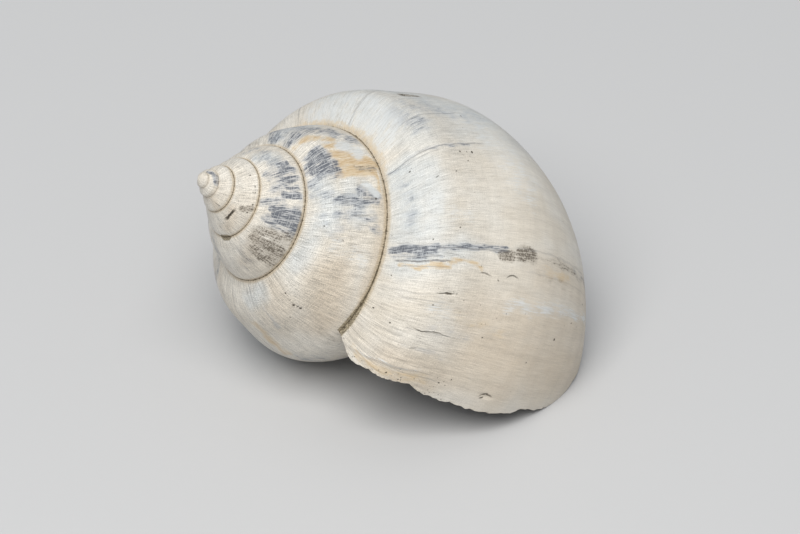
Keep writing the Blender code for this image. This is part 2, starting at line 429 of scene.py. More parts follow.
# %% [markdown]
# ## Steps round the spiral
# Each row of the mesh is a step. The last steps of every turn lie closer together, because those of the
# last turn make the lip, and rows of two neighbouring whorls have to meet at their seam. Along a row,
# extra points lie next to the seam, where the gutter bends sharply.

# %% Steps
EVEN_STEPS = 318
LIP_ROWS = 30
LIP_REACH = 0.03
STEPS_PER_TURN = EVEN_STEPS + LIP_ROWS
FIRST_COLUMNS = (0.08, 0.3)


def turn_at(step):
    """The turn of a row. The last rows of each turn lie closer together."""
    whole = np.floor_divide(step, STEPS_PER_TURN)
    rest = np.mod(step, STEPS_PER_TURN)
    return whole + np.interp(rest, [0, EVEN_STEPS, STEPS_PER_TURN], [0, 1 - LIP_REACH, 1])


def spaced(start, end, columns):
    """Shares between two seams, with extra ones close to the first."""
    even = np.linspace(start, end, columns + 1)
    return np.r_[start + (even[1] - start) * np.array(FIRST_COLUMNS), even[1:-1]]


def halved(shares):
    """Shares with one more in the middle of each gap."""
    return np.sort(np.r_[shares, (shares[1:] + shares[:-1]) / 2])


print("steps in a turn:", STEPS_PER_TURN)

# %% [markdown]
# ## Rows of the outside
# Each whorl shares its seam points with the one before it, so that the shell is one closed skin. The
# rows of the spire run from one seam to the next, with fewer points the smaller the whorl is. The rows
# of the last whorl go on to the navel, and the last ones have twice as many points for the ragged edge.

# %% Outside rows
TURNS = 6.6
UPPER_COLUMNS = 46
LOWER_COLUMNS = 76
SPIRE_COLUMNS = (40, 24, 15, 9, 6, 5)
FINE_ROWS = 12

first_step = -int(TURNS * STEPS_PER_TURN)
upper = spaced(0, SEAM, UPPER_COLUMNS)
lower = np.linspace(SEAM, 1, LOWER_COLUMNS + 1)
seam_turns = turn_at(np.arange(first_step, 1))
seam_numbers = skin.add(outside(seam_turns, np.zeros(len(seam_turns))))
seam = dict(zip(range(first_step, 1), seam_numbers))


def at_seam(step, turn, share):
    """A row of one seam point, with the coordinates that it has in one of its two whorls."""
    return np.array([seam[step]]), marked(np.array([turn]), np.array([share]), OUTSIDE)


def open_row(turns, shares):
    """A row of new points."""
    return skin.add(outside(turns, shares)), marked(turns, shares, OUTSIDE)


def spire_row(step):
    """A row of the spire, from one seam to the next."""
    turn = turn_at(step)
    whorl = min((-step - 1) // STEPS_PER_TURN - 1, len(SPIRE_COLUMNS) - 1)
    shares = spaced(0, SEAM, SPIRE_COLUMNS[whorl])
    between = open_row(np.full(len(shares), turn), shares)
    return joined(at_seam(step, turn, 0), between, at_seam(step + STEPS_PER_TURN, turn, SEAM))


def last_whorl_row(step):
    """A row of the last whorl, from the seam to the navel."""
    turn = turn_at(step)
    high, low = upper, lower
    if step > -FINE_ROWS:
        high, low = halved(np.r_[0, upper, SEAM])[1:-1], halved(lower)
    above = open_row(slanted(turn, high), high)
    if step == -STEPS_PER_TURN:
        crossing = at_seam(0, turn, SEAM)
    else:
        crossing = open_row(slanted(turn, low[:1]), low[:1])
    below = open_row(slanted(turn, low[1:]), low[1:])
    return joined(at_seam(step, turn, 0), above, crossing, below)


rows = {step: spire_row(step) for step in range(first_step, -STEPS_PER_TURN)}
rows.update({step: last_whorl_row(step) for step in range(-STEPS_PER_TURN, 1)})
print("rows", len(rows), "points", skin.count)

# %% [markdown]
# ## Faces of the outside
# Rows of one length are gathered and woven together, and the next group is sewn on with triangles.
# Where the last whorl begins, only the upper part of its first row meets the spire. The lower part lies
# at the mouth, and the hollow will be fastened to it. A fan of triangles closes the tip.

# %% Outside faces
TIP_LENGTH = -0.85


def sew_outside():
    """Joins every row to the next one."""
    upper_count = len(upper) + 2
    group = [rows[first_step]]
    for step in range(first_step, 0):
        next_row = rows[step + 1]
        if step + 1 == -STEPS_PER_TURN:
            next_row = part_of(next_row, upper_count)
        if len(next_row[0]) == len(group[-1][0]):
            group.append(next_row)
        else:
            if len(group) > 1:
                skin.weave(group)
            skin.sew(group[-1], next_row)
            group = [next_row]
        if step + 1 == -STEPS_PER_TURN:
            if len(group) > 1:
                skin.weave(group)
            group = [rows[step + 1]]
    skin.weave(group)


def cap_tip():
    """Closes the first turn, whose inner seam has no whorl to lie on."""
    inner_steps = range(first_step + STEPS_PER_TURN - 1, first_step, -1)
    inner_seam = [at_seam(step, turn_at(step), 0) for step in inner_steps]
    tip = skin.add(np.array([[0, 0, TIP_LENGTH]]))[0]
    skin.fan(tip, joined(rows[first_step], *inner_seam))


sew_outside()
cap_tip()
print("blocks of woven faces:", len(skin.quads), "triangles:", len(skin.triangles))

# %% [markdown]
# ## The hollow
# The hollow is a ring of points that goes in at the mouth: over the outer wall, up the columella, which
# is the pillar in the middle of the coil, and back over the earlier whorl that the animal lay on. A
# Solidify modifier would give one thickness, but this wall is thin at the lip and thick along the
# columella, so its rows are worked out too. The ring ends blind, deep inside.

# %% Hollow
HOLLOW_TURNS = 0.8
HOLLOW_ROWS = 60
HOLLOW_PACE = 1.2
HOLLOW_STRIDE = 2
COLUMELLA_COLUMNS = 12
FLOOR_GAP = 6
LIP_WALL = 0.8
DEEP_WALL = 1.5
COLUMELLA_WALL = 2.6
WALL_REACH = 0.12
COLUMELLA_START = 0.69
wall_shares = np.r_[upper, lower][::HOLLOW_STRIDE]


def inside(turn, shares):
    """A row of the hollow's outer wall: the outline set in by the thickness of the wall."""
    turns = slanted(turn, shares)
    wall = LIP_WALL + (DEEP_WALL - LIP_WALL) * smooth(-turn / WALL_REACH)
    wall = wall + (COLUMELLA_WALL - wall) * smooth((shares - COLUMELLA_START) / (1 - COLUMELLA_START))
    scale = np.stack([WIDTH_GROWTH**turns, LENGTH_GROWTH**turns], -1)
    step = 1e-4
    low = np.clip(shares, 0, 1 - step)
    along = (outline(turns, low + step) - outline(turns, low)) * scale
    normal = np.stack([along[:, 1], -along[:, 0]], -1)
    normal /= np.linalg.norm(normal, axis=-1, keepdims=True)
    return wound(turns, outline(turns, shares) - normal * wall[:, None] / scale)


def under(turn, shares):
    """Turns along a row of the last whorl's own earlier turn, which the hollow lies on."""
    lean = smooth((turn + LAG_REACH) / LAG_REACH) * lag(LIP_LAG, 1.0)
    return turn - 1 + lean * smooth((shares - SEAM) / (1 - SEAM))


def hollow_ring(number):
    """One ring of the hollow: floor, wall, pillar and floor again."""
    turn = -HOLLOW_TURNS * (number / HOLLOW_ROWS) ** HOLLOW_PACE
    floor_shares = lower[1:-FLOOR_GAP]
    floor_turns = under(turn, floor_shares)
    floor_marks = marked(floor_turns + 1, floor_shares, HOLLOW)
    wall = inside(turn, wall_shares)
    floor = surface(floor_turns, floor_shares)
    ways = np.linspace(0, 1, COLUMELLA_COLUMNS + 1)[1:-1, None]
    pillar = wall[-1] * (1 - ways) + floor[-1] * ways
    if number == 0:
        floor_row = rows[-STEPS_PER_TURN][0][-LOWER_COLUMNS:-FLOOR_GAP], floor_marks
    else:
        floor_row = skin.add(floor), floor_marks
    return joined(
        part_of(floor_row, 0, 1),
        (skin.add(wall), marked(np.full(len(wall), turn), wall_shares, HOLLOW)),
        (skin.add(pillar), marked(np.full(len(pillar), turn), np.ones(len(pillar)), HOLLOW)),
        part_of(floor_row, None, 0, -1),
        part_of(floor_row, 0, 1),
    )


rings = [hollow_ring(number) for number in range(HOLLOW_ROWS + 1)]
skin.weave(rings)
deep_points = np.concatenate(skin.points)[rings[-1][0][:-1]]
deep_end = skin.add(deep_points.mean(0)[None])[0]
deep_ring = part_of(rings[-1], 0, -1)
skin.fan(deep_end, part_of(deep_ring, None, None, -1))
print("rings of the hollow:", len(rings), "points in a ring:", len(deep_ring[0]))

# %% [markdown]
# ## The edge of the mouth
# The broken edge is the band between the outside and the first ring of the hollow. It has the thickness
# of the wall and a zone of its own, because fresh breaks look grainy. On the inner side it runs down
# the columella to the navel, which a fan of triangles closes at its floor.

# %% Mouth
NAVEL_FLOOR = 40.0


def close_mouth(mouth):
    """Sews the broken edge to the hollow's first ring, and closes the navel."""
    level = len(wall_shares)
    points = np.concatenate(skin.points)
    top, bottom = points[rows[0][0][-1]], points[rows[-STEPS_PER_TURN][0][-1]]
    ways = np.linspace(0, 1, COLUMELLA_COLUMNS + 2)[1:-1, None]
    edge_points = top * (1 - ways) + bottom * ways
    columella = skin.add(edge_points), marked(np.zeros(len(ways)), np.ones(len(ways)), EDGE)
    base = part_of(rows[-STEPS_PER_TURN], None, -FLOOR_GAP - 1, -1)
    outer_edge = joined(rows[0], columella, base)
    inner_edge = part_of(mouth, 0, level + COLUMELLA_COLUMNS + 1)
    outer_level = len(rows[0][0]) - 1
    skin.sew(part_of(outer_edge, 0, outer_level + 1), part_of(inner_edge, 0, level + 1))
    skin.sew(part_of(outer_edge, outer_level, None), part_of(inner_edge, level, None))
    navel = [part_of(rows[step], -1, None) for step in range(-STEPS_PER_TURN, 1)]
    floor = skin.add(np.array([[0, 0, NAVEL_FLOOR]]))[0]
    skin.fan(floor, joined(*navel, columella))


close_mouth(rings[0])
shell_mesh = skin.mesh("shell")
print("points", len(shell_mesh.vertices), "faces", len(shell_mesh.polygons))

# %% [markdown]
# ## Put the shell in its place
# The shell lies on its mouth. Three turns bring its own axis to the way it lies, and the pole gives its
# place. The spots that it rests on are worn flat: whatever would reach below the table is pressed up to
# it.

# %% Pose
AXIS_HEADING = 23.6
AXIS_DIP = 39.1
AXIS_ROLL = -66.4
SHARP_ANGLE = 55


def pose_matrix():
    turned = Matrix.Rotation(math.radians(AXIS_HEADING), 4, "Z")
    turned @= Matrix.Rotation(math.radians(90 + AXIS_DIP), 4, "Y")
    turned @= Matrix.Rotation(math.radians(AXIS_ROLL), 4, "Z")
    return Matrix.Translation(Vector(POLE) * MM) @ turned


shell_mesh.transform(pose_matrix())
places = np.empty(len(shell_mesh.vertices) * 3, np.float32)
shell_mesh.vertices.foreach_get("co", places)
places = places.reshape(-1, 3)
pressed = places[:, 2] < 0
places[pressed, 2] = 0
shell_mesh.vertices.foreach_set("co", places.ravel())
shell_mesh.update()
shell_mesh.shade_smooth()
shell_mesh.set_sharp_from_angle(angle=math.radians(SHARP_ANGLE))
shell = bpy.data.objects.new("shell_surface", shell_mesh)
bpy.context.scene.collection.objects.link(shell)
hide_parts("shell")
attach(shell, "root")
print("points pressed flat:", int(pressed.sum()))

# %% [markdown]
# ## Paint the stains
# The shell lay in mud that held iron and manganese. They left blue-grey, brown and ochre stains, which
# follow the growth lines, and over them lies a milky weathered skin. Each stain has its place on the
# shell, so its soft shape is painted here on the mesh, as strokes along (growth line, share) points.
# The material breaks them up into hair-fine streaks later. A painted picture would do too, but strokes
# stay sharp at any size. A little noise bends them, so that no stroke is straight.

# %% Paint helpers
AGE_WOBBLE = 0.004
SHARE_WOBBLE = 0.008
SOFT_EDGE = 0.9
SPREAD = 1.25
corner_marks = np.empty(len(shell_mesh.loops) * 3, np.float32)
shell_mesh.attributes["growth"].data.foreach_get("vector", corner_marks)
corner_turn, corner_share = corner_marks.reshape(-1, 3)[:, :2].astype(float).T
corner_age = age(corner_turn, corner_share)
bent_age = corner_age + AGE_WOBBLE * noise_at(corner_share * 28, np.floor(corner_turn * 9), 11.5)
bent_share = corner_share + SHARE_WOBBLE * noise_at(corner_age * 60, np.floor(corner_share * 14), 12.5)


def brush(line, width):
    """One stroke at every corner, from 0 to 1, which is so many millimetres wide to each side."""
    size = WIDTH_GROWTH ** np.mean([place[0] for place in line])
    scale = np.array([GIRTH, REACH]) * size
    points = np.array(line) * scale
    strength = np.zeros(len(bent_age))
    margin = width / scale
    low, high = np.min(line, 0) - margin, np.max(line, 0) + margin
    close = (bent_age > low[0]) & (bent_age < high[0]) & (bent_share > low[1]) & (bent_share < high[1])
    here = np.stack([bent_age[close], bent_share[close]], -1) * scale
    nearest = np.full(len(here), np.inf)
    for start, end in zip(points, points[1:]):
        run = end - start
        way = np.clip((here - start) @ run / (run @ run), 0, 1)
        nearest = np.minimum(nearest, np.linalg.norm(here - start - way[:, None] * run, axis=1))
    strength[close] = smooth((1 - nearest / width) / SOFT_EDGE)
    return strength


def painted(strokes):
    """One layer of paint: where strokes cross, the stronger one shows."""
    layer = np.zeros(len(bent_age))
    for strength, width, line in strokes:
        layer = np.maximum(layer, strength * brush(line, SPREAD * width))
    return layer


print("corners to paint:", len(corner_age))

# %% [markdown]
# ## Blue-grey strokes
# Each stroke has a strength, a width in millimetres and its places. On the side that the photograph
# shows, they follow the real stains. The back is guessed in the same manner, a little weaker.

# %% Blue-grey strokes
SLATE = [
    # the dark patch of the whorl before the last
    (0.8, 1.6, [(-1.272, 0.06), (-1.27, 0.125)]),
    (0.95, 1.5, [(-1.254, 0.045), (-1.252, 0.135)]),
    (0.62, 1.7, [(-1.244, 0.012), (-1.236, 0.06)]),
    (1.0, 1.4, [(-1.234, 0.055), (-1.232, 0.145)]),
    (0.85, 0.9, [(-1.218, 0.07), (-1.216, 0.16)]),
    (0.5, 1.3, [(-1.212, 0.012), (-1.208, 0.165)]),
    # the cloud round it
    (0.4, 2.2, [(-1.195, 0.02), (-1.17, 0.11)]),
    (0.62, 2.4, [(-1.35, 0.04), (-1.342, 0.18), (-1.312, 0.262)]),
    (0.42, 3.2, [(-1.385, 0.08), (-1.375, 0.22)]),
    (0.5, 2.0, [(-1.3, 0.25), (-1.272, 0.33)]),
    (0.65, 2.6, [(-1.4, 0.06), (-1.42, 0.2)]),
    (0.65, 1.5, [(-1.172, 0.245), (-1.165, 0.31)]),
    (0.75, 0.7, [(-1.153, 0.26), (-1.155, 0.318)]),
    (0.62, 1.8, [(-1.16, 0.15), (-1.152, 0.235)]),
    (0.44, 1.6, [(-1.135, 0.15), (-1.128, 0.31)]),
    (0.42, 0.8, [(-1.113, 0.23), (-1.11, 0.34)]),
    (0.26, 3.4, [(-1.14, 0.06), (-1.1, 0.2)]),
    # the third whorl
    (0.9, 0.8, [(-2.243, 0.185), (-2.24, 0.26)]),
    (0.9, 1.0, [(-2.22, 0.195), (-2.215, 0.285)]),
    (0.85, 1.0, [(-2.19, 0.2), (-2.185, 0.295)]),
    (0.75, 0.8, [(-2.165, 0.21), (-2.16, 0.3)]),
    (0.45, 1.2, [(-2.24, 0.06), (-2.18, 0.12)]),
    (0.95, 0.8, [(-2.142, 0.19), (-2.136, 0.32)]),
    (0.7, 0.8, [(-2.128, 0.008), (-2.13, 0.19)]),
    (0.55, 0.8, [(-2.115, 0.006), (-2.118, 0.15)]),
    (0.4, 1.0, [(-2.11, 0.15), (-2.105, 0.32)]),
    (0.95, 0.8, [(-2.103, 0.12), (-2.098, 0.25), (-2.094, 0.335)]),
    (1.0, 0.85, [(-2.086, 0.16), (-2.08, 0.34)]),
    (1.0, 0.85, [(-2.068, 0.19), (-2.062, 0.345)]),
    (0.55, 1.5, [(-2.072, 0.09), (-2.06, 0.18), (-2.046, 0.33)]),
    (0.35, 1.4, [(-2.33, 0.06), (-2.29, 0.25)]),
    (0.45, 1.2, [(-2.4, 0.03), (-2.37, 0.2)]),
    # the tip
    (0.85, 0.5, [(-5.33, 0.06), (-5.17, 0.32)]),
    (0.7, 0.5, [(-5.09, 0.34), (-5.2, 0.2)]),
    # the dark band of the last whorl
    (1.0, 1.15, [(-0.131, 0.028), (-0.1295, 0.125)]),
    (0.6, 0.85, [(-0.122, 0.035), (-0.1225, 0.11)]),
    (0.72, 0.75, [(-0.13, 0.125), (-0.131, 0.295)]),
    (0.45, 0.5, [(-0.122, 0.04), (-0.122, 0.14)]),
    # the crown and the side of the lip
    (0.5, 0.5, [(-0.237, 0.015), (-0.237, 0.27)]),
    (0.46, 3.6, [(-0.306, 0.095), (-0.275, 0.13)]),
    (0.42, 1.3, [(-0.308, 0.09), (-0.3, 0.19)]),
    (0.33, 4.2, [(-0.306, 0.15), (-0.285, 0.25), (-0.275, 0.32)]),
    (0.35, 3.0, [(-0.345, 0.33), (-0.3, 0.45)]),
    (0.3, 1.6, [(-0.224, 0.04), (-0.16, 0.06)]),
    (0.32, 0.8, [(-0.13, 0.53), (-0.128, 0.64)]),
    (0.28, 1.4, [(-0.055, 0.16), (-0.052, 0.25)]),
    (0.3, 1.0, [(-0.035, 0.13), (-0.03, 0.22)]),
    # the left edge and the hidden sides, with one cloud on the third whorl
    (0.45, 0.8, [(-0.91, 0.11), (-0.9, 0.2)]),
    (0.35, 0.4, [(-0.894, 0.02), (-0.888, 0.075)]),
    (0.38, 4.5, [(-0.5, 0.14), (-0.47, 0.42)]),
    (0.62, 1.8, [(-0.61, 0.01), (-0.605, 0.16), (-0.59, 0.38)]),
    (0.36, 4.5, [(-0.64, 0.02), (-0.66, 0.3)]),
    (0.4, 5.5, [(-0.64, 0.4), (-0.7, 0.56)]),
    (0.55, 1.4, [(-0.755, 0.015), (-0.745, 0.14)]),
    (0.34, 3.5, [(-0.74, 0.06), (-0.72, 0.26)]),
    (0.4, 5.0, [(-0.87, 0.42), (-0.84, 0.64)]),
    (0.4, 3.2, [(-1.52, 0.06), (-1.56, 0.28)]),
    (0.75, 1.1, [(-1.565, 0.01), (-1.555, 0.18)]),
    (0.85, 1.4, [(-1.7, 0.19), (-1.69, 0.34)]),
    (0.42, 3.4, [(-1.69, 0.08), (-1.72, 0.3)]),
    (0.38, 2.6, [(-1.8, 0.02), (-1.78, 0.24)]),
    (0.48, 2.8, [(-2.3, 0.15), (-2.23, 0.17), (-2.165, 0.16)]),
    (0.3, 2.6, [(-1.96, 0.08), (-1.9, 0.22)]),
    (0.42, 2.0, [(-2.52, 0.04), (-2.55, 0.3)]),
    (0.7, 0.6, [(-2.56, 0.16), (-2.55, 0.33)]),
    (0.36, 2.0, [(-2.74, 0.04), (-2.76, 0.28)]),
]
slate_layer = painted(SLATE)
print("blue-grey strokes:", len(SLATE), "corners stained:", int((slate_layer > 0.2).sum()))

# %% [markdown]
# ## Brown and ochre strokes
# Brown lies on the third whorl and at the end of the dark band, and ochre between the dark patch and
# the seam. The three stains are kept together, as the three numbers of one vector for each corner.

# %% Brown and ochre strokes
UMBER = [
    # the third whorl
    (0.7, 1.6, [(-2.024, 0.085), (-2.028, 0.33)]),
    (0.85, 1.7, [(-1.995, 0.12), (-1.99, 0.32)]),
    (0.75, 1.6, [(-1.962, 0.16), (-1.957, 0.325)]),
    (0.35, 2.6, [(-1.94, 0.11), (-1.91, 0.26)]),
    (0.4, 1.0, [(-1.985, 0.08), (-1.93, 0.14)]),
    # the fourth whorl
    (0.95, 0.8, [(-3.035, 0.2), (-3.045, 0.31)]),
    # the end of the dark band and below it
    (1.0, 1.05, [(-0.1265, 0.288), (-0.1268, 0.31)]),
    (1.0, 1.35, [(-0.1298, 0.332), (-0.1285, 0.366)]),
    (0.9, 0.55, [(-0.1235, 0.345), (-0.1265, 0.33)]),
    (0.42, 0.8, [(-0.13, 0.375), (-0.131, 0.47)]),
    (0.5, 0.9, [(-0.129, 0.44), (-0.1275, 0.545)]),
    (0.45, 0.9, [(-0.127, 0.545), (-0.126, 0.64)]),
    (0.3, 1.2, [(-0.115, 0.38), (-0.112, 0.52)]),
    # the crown, the lip, a seam and the left edge
    (1.0, 1.0, [(-0.333, 0.196), (-0.327, 0.245)]),
    (0.32, 0.6, [(-0.079, 0.083), (-0.081, 0.19)]),
    (0.25, 1.3, [(-0.004, 0.06), (-0.001, 0.13)]),
    (0.45, 1.0, [(-1.213, 0.25), (-1.207, 0.34)]),
    (0.3, 2.0, [(-0.96, 0.25), (-0.93, 0.36)]),
    # the hidden sides
    (0.32, 5.0, [(-0.56, 0.52), (-0.5, 0.78)]),
    (0.36, 4.0, [(-0.3, 0.74), (-0.18, 0.82)]),
    (0.4, 2.4, [(-1.47, 0.06), (-1.48, 0.3)]),
    (0.45, 1.8, [(-1.65, 0.01), (-1.645, 0.12)]),
    (0.34, 3.0, [(-0.79, 0.12), (-0.78, 0.34)]),
]
OCHRE = [
    # the whorl before the last
    (0.55, 1.1, [(-1.325, 0.035), (-1.318, 0.105), (-1.3, 0.17), (-1.282, 0.215)]),
    (0.75, 0.9, [(-1.275, 0.155), (-1.268, 0.225)]),
    (0.85, 1.2, [(-1.252, 0.16), (-1.243, 0.225), (-1.23, 0.29)]),
    (0.8, 1.3, [(-1.23, 0.165), (-1.222, 0.33)]),
    (0.8, 1.2, [(-1.21, 0.165), (-1.205, 0.33)]),
    (1.0, 0.9, [(-1.226, 0.3), (-1.216, 0.35)]),
    (0.6, 0.5, [(-1.199, 0.34), (-1.175, 0.338)]),
    # the last whorl
    (0.62, 0.5, [(-0.112, 0.05), (-0.1125, 0.165)]),
    (0.62, 0.45, [(-0.115, 0.12), (-0.118, 0.165), (-0.118, 0.211), (-0.112, 0.235)]),
    (0.38, 1.3, [(0.002, 0.05), (0.001, 0.105), (-0.003, 0.16), (-0.005, 0.21)]),
    (0.35, 1.2, [(-0.12, 0.41), (-0.118, 0.5)]),
    (0.2, 1.5, [(-0.07, 0.2), (-0.06, 0.33)]),
    # the hidden sides
    (0.25, 2.2, [(-0.5, 0.06), (-0.56, 0.08)]),
    (0.45, 1.6, [(-0.86, 0.18), (-0.85, 0.33)]),
    (0.45, 2.4, [(-0.42, 0.56), (-0.4, 0.7)]),
    (0.6, 1.2, [(-1.62, 0.16), (-1.61, 0.33)]),
    (0.5, 1.0, [(-2.45, 0.16), (-2.44, 0.33)]),
    (0.55, 0.8, [(-2.62, 0.15), (-2.61, 0.3)]),
]


def keep_on_corners(name, numbers):
    """Stores three numbers for each corner of the mesh."""
    shell_mesh.attributes.new(name, "FLOAT_VECTOR", "CORNER").data.foreach_set("vector", numbers.ravel())


stains = np.stack([slate_layer, painted(UMBER), painted(OCHRE)], -1)
keep_on_corners("stains", stains)
print("corners stained blue-grey, brown, ochre:", (stains > 0.2).sum(0))

# %% [markdown]
# ## Milky, sandy and chalk-white strokes
# Weathering changed the bare shell too. Near the seam and on the crown it is milky and bluish, and where
# it crumbled it is white like chalk. Towards the lip and the base, which face down, it is warmer and
# sandier. One chalk-white stroke, along the ridge behind the lip, is a painted highlight on its lit side.

# %% Weathering strokes
VEIL = [
    (0.9, 4.5, [(-0.23, 0.05), (-0.15, 0.06)]),
    (0.8, 4.0, [(-0.215, 0.1), (-0.15, 0.105)]),
    (0.6, 6.0, [(-0.4, 0.08), (-0.33, 0.11), (-0.27, 0.12)]),
    (0.8, 6.0, [(-0.38, 0.2), (-0.3, 0.26), (-0.28, 0.35)]),
    (0.5, 6.0, [(-0.26, 0.25), (-0.26, 0.45)]),
    (0.7, 3.0, [(-0.11, 0.05), (-0.13, 0.18)]),
    (0.9, 3.0, [(-1.2, 0.06), (-1.15, 0.12), (-1.12, 0.1)]),
    (0.7, 2.4, [(-1.18, 0.2), (-1.13, 0.23)]),
    (0.8, 3.0, [(-1.39, 0.08), (-1.37, 0.25)]),
    (0.7, 2.4, [(-1.1, 0.07), (-1.03, 0.05)]),
    (0.7, 2.2, [(-0.93, 0.04), (-0.88, 0.07)]),
    (0.8, 2.0, [(-2.32, 0.08), (-2.28, 0.18)]),
    (0.9, 0.8, [(-1.182, 0.28), (-1.168, 0.315)]),
    (0.7, 8.0, [(-0.6, 0.1), (-0.5, 0.3)]),
    (0.6, 7.0, [(-0.76, 0.35), (-0.64, 0.6)]),
    (0.6, 4.0, [(-1.7, 0.18), (-1.55, 0.22)]),
]
# warmer, sandier tint: on the lip and the base, which face down, and in a few spots of the spire
SANDY_TINT = [
    (0.9, 7.0, [(-0.045, 0.3), (-0.045, 0.62)]),
    (0.8, 5.0, [(-0.07, 0.26), (-0.08, 0.6)]),
    (0.7, 3.5, [(-0.015, 0.12), (-0.02, 0.4)]),
    (0.75, 2.4, [(0.0, 0.1), (-0.004, 0.22)]),
    (0.6, 4.0, [(-0.115, 0.4), (-0.11, 0.64)]),
    (0.9, 4.5, [(-1.04, 0.2), (-0.96, 0.28)]),
    (0.7, 1.8, [(-1.16, 0.35), (-1.02, 0.35)]),
    (0.5, 3.5, [(-0.94, 0.14), (-0.96, 0.06)]),
    (0.5, 1.6, [(-2.0, 0.1), (-1.9, 0.2)]),
    (0.6, 1.2, [(-3.02, 0.08), (-2.9, 0.25)]),
    (0.5, 0.8, [(-3.95, 0.1), (-3.9, 0.3)]),
    (0.8, 10.0, [(-0.25, 0.85), (-0.05, 0.8)]),
    (0.6, 9.0, [(-0.8, 0.7), (-0.5, 0.85)]),
]
CHALK_AND_RIDGE_HIGHLIGHT = [
    (1.0, 1.9, [(-1.262, 0.24), (-1.254, 0.258), (-1.244, 0.284)]),
    (0.75, 1.1, [(-1.182, 0.268), (-1.169, 0.312)]),
    (0.9, 0.25, [(-2.241, 0.186), (-2.241, 0.198)]),
    (0.55, 1.6, [(-0.085, 0.32), (-0.088, 0.39), (-0.091, 0.48)]),
    (0.65, 1.1, [(-0.091, 0.44), (-0.0925, 0.64)]),
    (0.35, 0.6, [(-0.083, 0.365), (-0.077, 0.384)]),
    (0.7, 6.0, [(-0.42, 0.05), (-0.35, 0.06), (-0.3, 0.05)]),
    (0.4, 6.0, [(-0.262, 0.3), (-0.225, 0.35), (-0.19, 0.37)]),
    # painted highlight: the lit side of the ridge behind the lip, drawn as a chalk-white line
    (0.6, 0.24, [(0.002, 0.035), (-0.003, 0.06), (-0.009, 0.11), (-0.0108, 0.15), (-0.014, 0.19)]),
    (0.45, 2.2, [(-0.078, 0.15), (-0.07, 0.18)]),
    (0.8, 0.35, [(-0.281, 0.283), (-0.28, 0.289)]),
    (0.35, 3.0, [(-0.17, 0.13), (-0.16, 0.19)]),
    (0.4, 2.0, [(-1.08, 0.17), (-1.07, 0.29)]),
    (0.35, 4.0, [(-0.38, 0.03), (-0.34, 0.06)]),
    (0.4, 2.5, [(-0.7, 0.2), (-0.69, 0.3)]),
]
tints = np.stack([painted(VEIL), painted(SANDY_TINT), painted(CHALK_AND_RIDGE_HIGHLIGHT)], -1)
keep_on_corners("tints", tints)
print("corners milky, sandy, chalk-white:", (tints > 0.2).sum(0))

# %% [markdown]
# ## Marks finer than the mesh
# Growth stops, cracks and pits are finer than the mesh, so they can't be painted on it. Instead each
# corner keeps where it lies as seen from the nearest mark: how far along it and how far beside it. Such
# numbers change evenly over a face, so the material can read a hair-fine mark from them. The third
# number is the mark's strength, and 0 far away. Nodes that measure the distance to every mark would do
# the same, but a hundred of them are too much for one material.

# %% Mark helpers
GROWN = GIRTH / math.log(WIDTH_GROWTH)
MARK_REACH = 1.6
CLEAR_BETWEEN = 0.45
corner_across = REACH * corner_share * WIDTH_GROWTH**corner_turn
corner_skin = np.stack([GROWN * WIDTH_GROWTH**corner_age, corner_across], -1)


def skin_place(at_age, at_share):
    """A place on the shell in millimetres: along its growth, and across from the seam."""
    size = WIDTH_GROWTH ** (at_age + float(lag(GROWTH_LAG, at_share)))
    return np.array([GROWN * WIDTH_GROWTH**at_age, REACH * at_share * size])


class MarkField:
    """The nearest mark of each corner."""

    def __init__(self):
        self.nearest = np.full(len(corner_skin), np.inf)
        self.second = self.nearest.copy()
        self.seen = np.zeros((len(corner_skin), 3))

    def offer(self, rows, away, along, beside, strength):
        """Keeps the mark where it is nearer than those before it."""
        closer = away < self.nearest[rows]
        self.second[rows] = np.where(closer, self.nearest[rows], np.minimum(self.second[rows], away))
        self.nearest[rows] = np.minimum(self.nearest[rows], away)
        values = np.stack([along, beside, np.full(len(along), strength)], -1)
        self.seen[rows[closer]] = values[closer]

    def line(self, places, width, strength=1.0):
        """A line through places. Along it runs from -1 to 1, and beside it is 1 at the width."""
        points = np.array([skin_place(*place) for place in places])
        low, high = points.min(0) - 2 * MARK_REACH, points.max(0) + 2 * MARK_REACH
        rows = np.flatnonzero(((corner_skin > low) & (corner_skin < high)).all(1))
        lengths = np.linalg.norm(np.diff(points, axis=0), axis=1)
        last = len(lengths) - 1
        before = 0
        best = np.full(len(rows), np.inf)
        along, beside = np.zeros(len(rows)), np.zeros(len(rows))
        for number, length in enumerate(lengths):
            run = (points[number + 1] - points[number]) / length
            offset = corner_skin[rows] - points[number]
            way, off = offset @ run, offset @ np.array([-run[1], run[0]])
            past = np.maximum(np.maximum(-way, way - length), 0)
            away = np.hypot(past, off)
            lowest = 0 if number else -math.inf
            highest = length if number < last else math.inf
            inner_way = np.clip(way, lowest, highest)
            closer = away < best
            best[closer] = away[closer]
            along[closer] = (2 * (before + inner_way[closer]) / lengths.sum()) - 1
            beside[closer] = off[closer] / width
            before += length
        self.offer(rows, best, along, beside, strength)

    def pit(self, place, width, strength):
        """A round mark. Along and beside are both 1 at its width."""
        offset = corner_skin - skin_place(*place)
        rows = np.flatnonzero(np.abs(offset).max(1) < 2 * MARK_REACH)
        offset = offset[rows]
        away = np.linalg.norm(offset, axis=1)
        self.offer(rows, away, offset[:, 0] / width, offset[:, 1] / width, strength)

    def keep(self, name):
        """Stores the field, faded out far from its marks and half way between two of them."""
        near = smooth(2 * (1 - self.nearest / MARK_REACH))
        near = near * smooth((self.second - self.nearest) / CLEAR_BETWEEN)
        self.seen[:, 2] *= np.where(np.isfinite(self.nearest), near, 0)
        keep_on_corners(name, self.seen)
        print(name, "reaches", int((self.seen[:, 2] > 0.1).sum()), "corners")


print("the skin is measured over", round(float(corner_skin[:, 0].max())), "mm of growth")

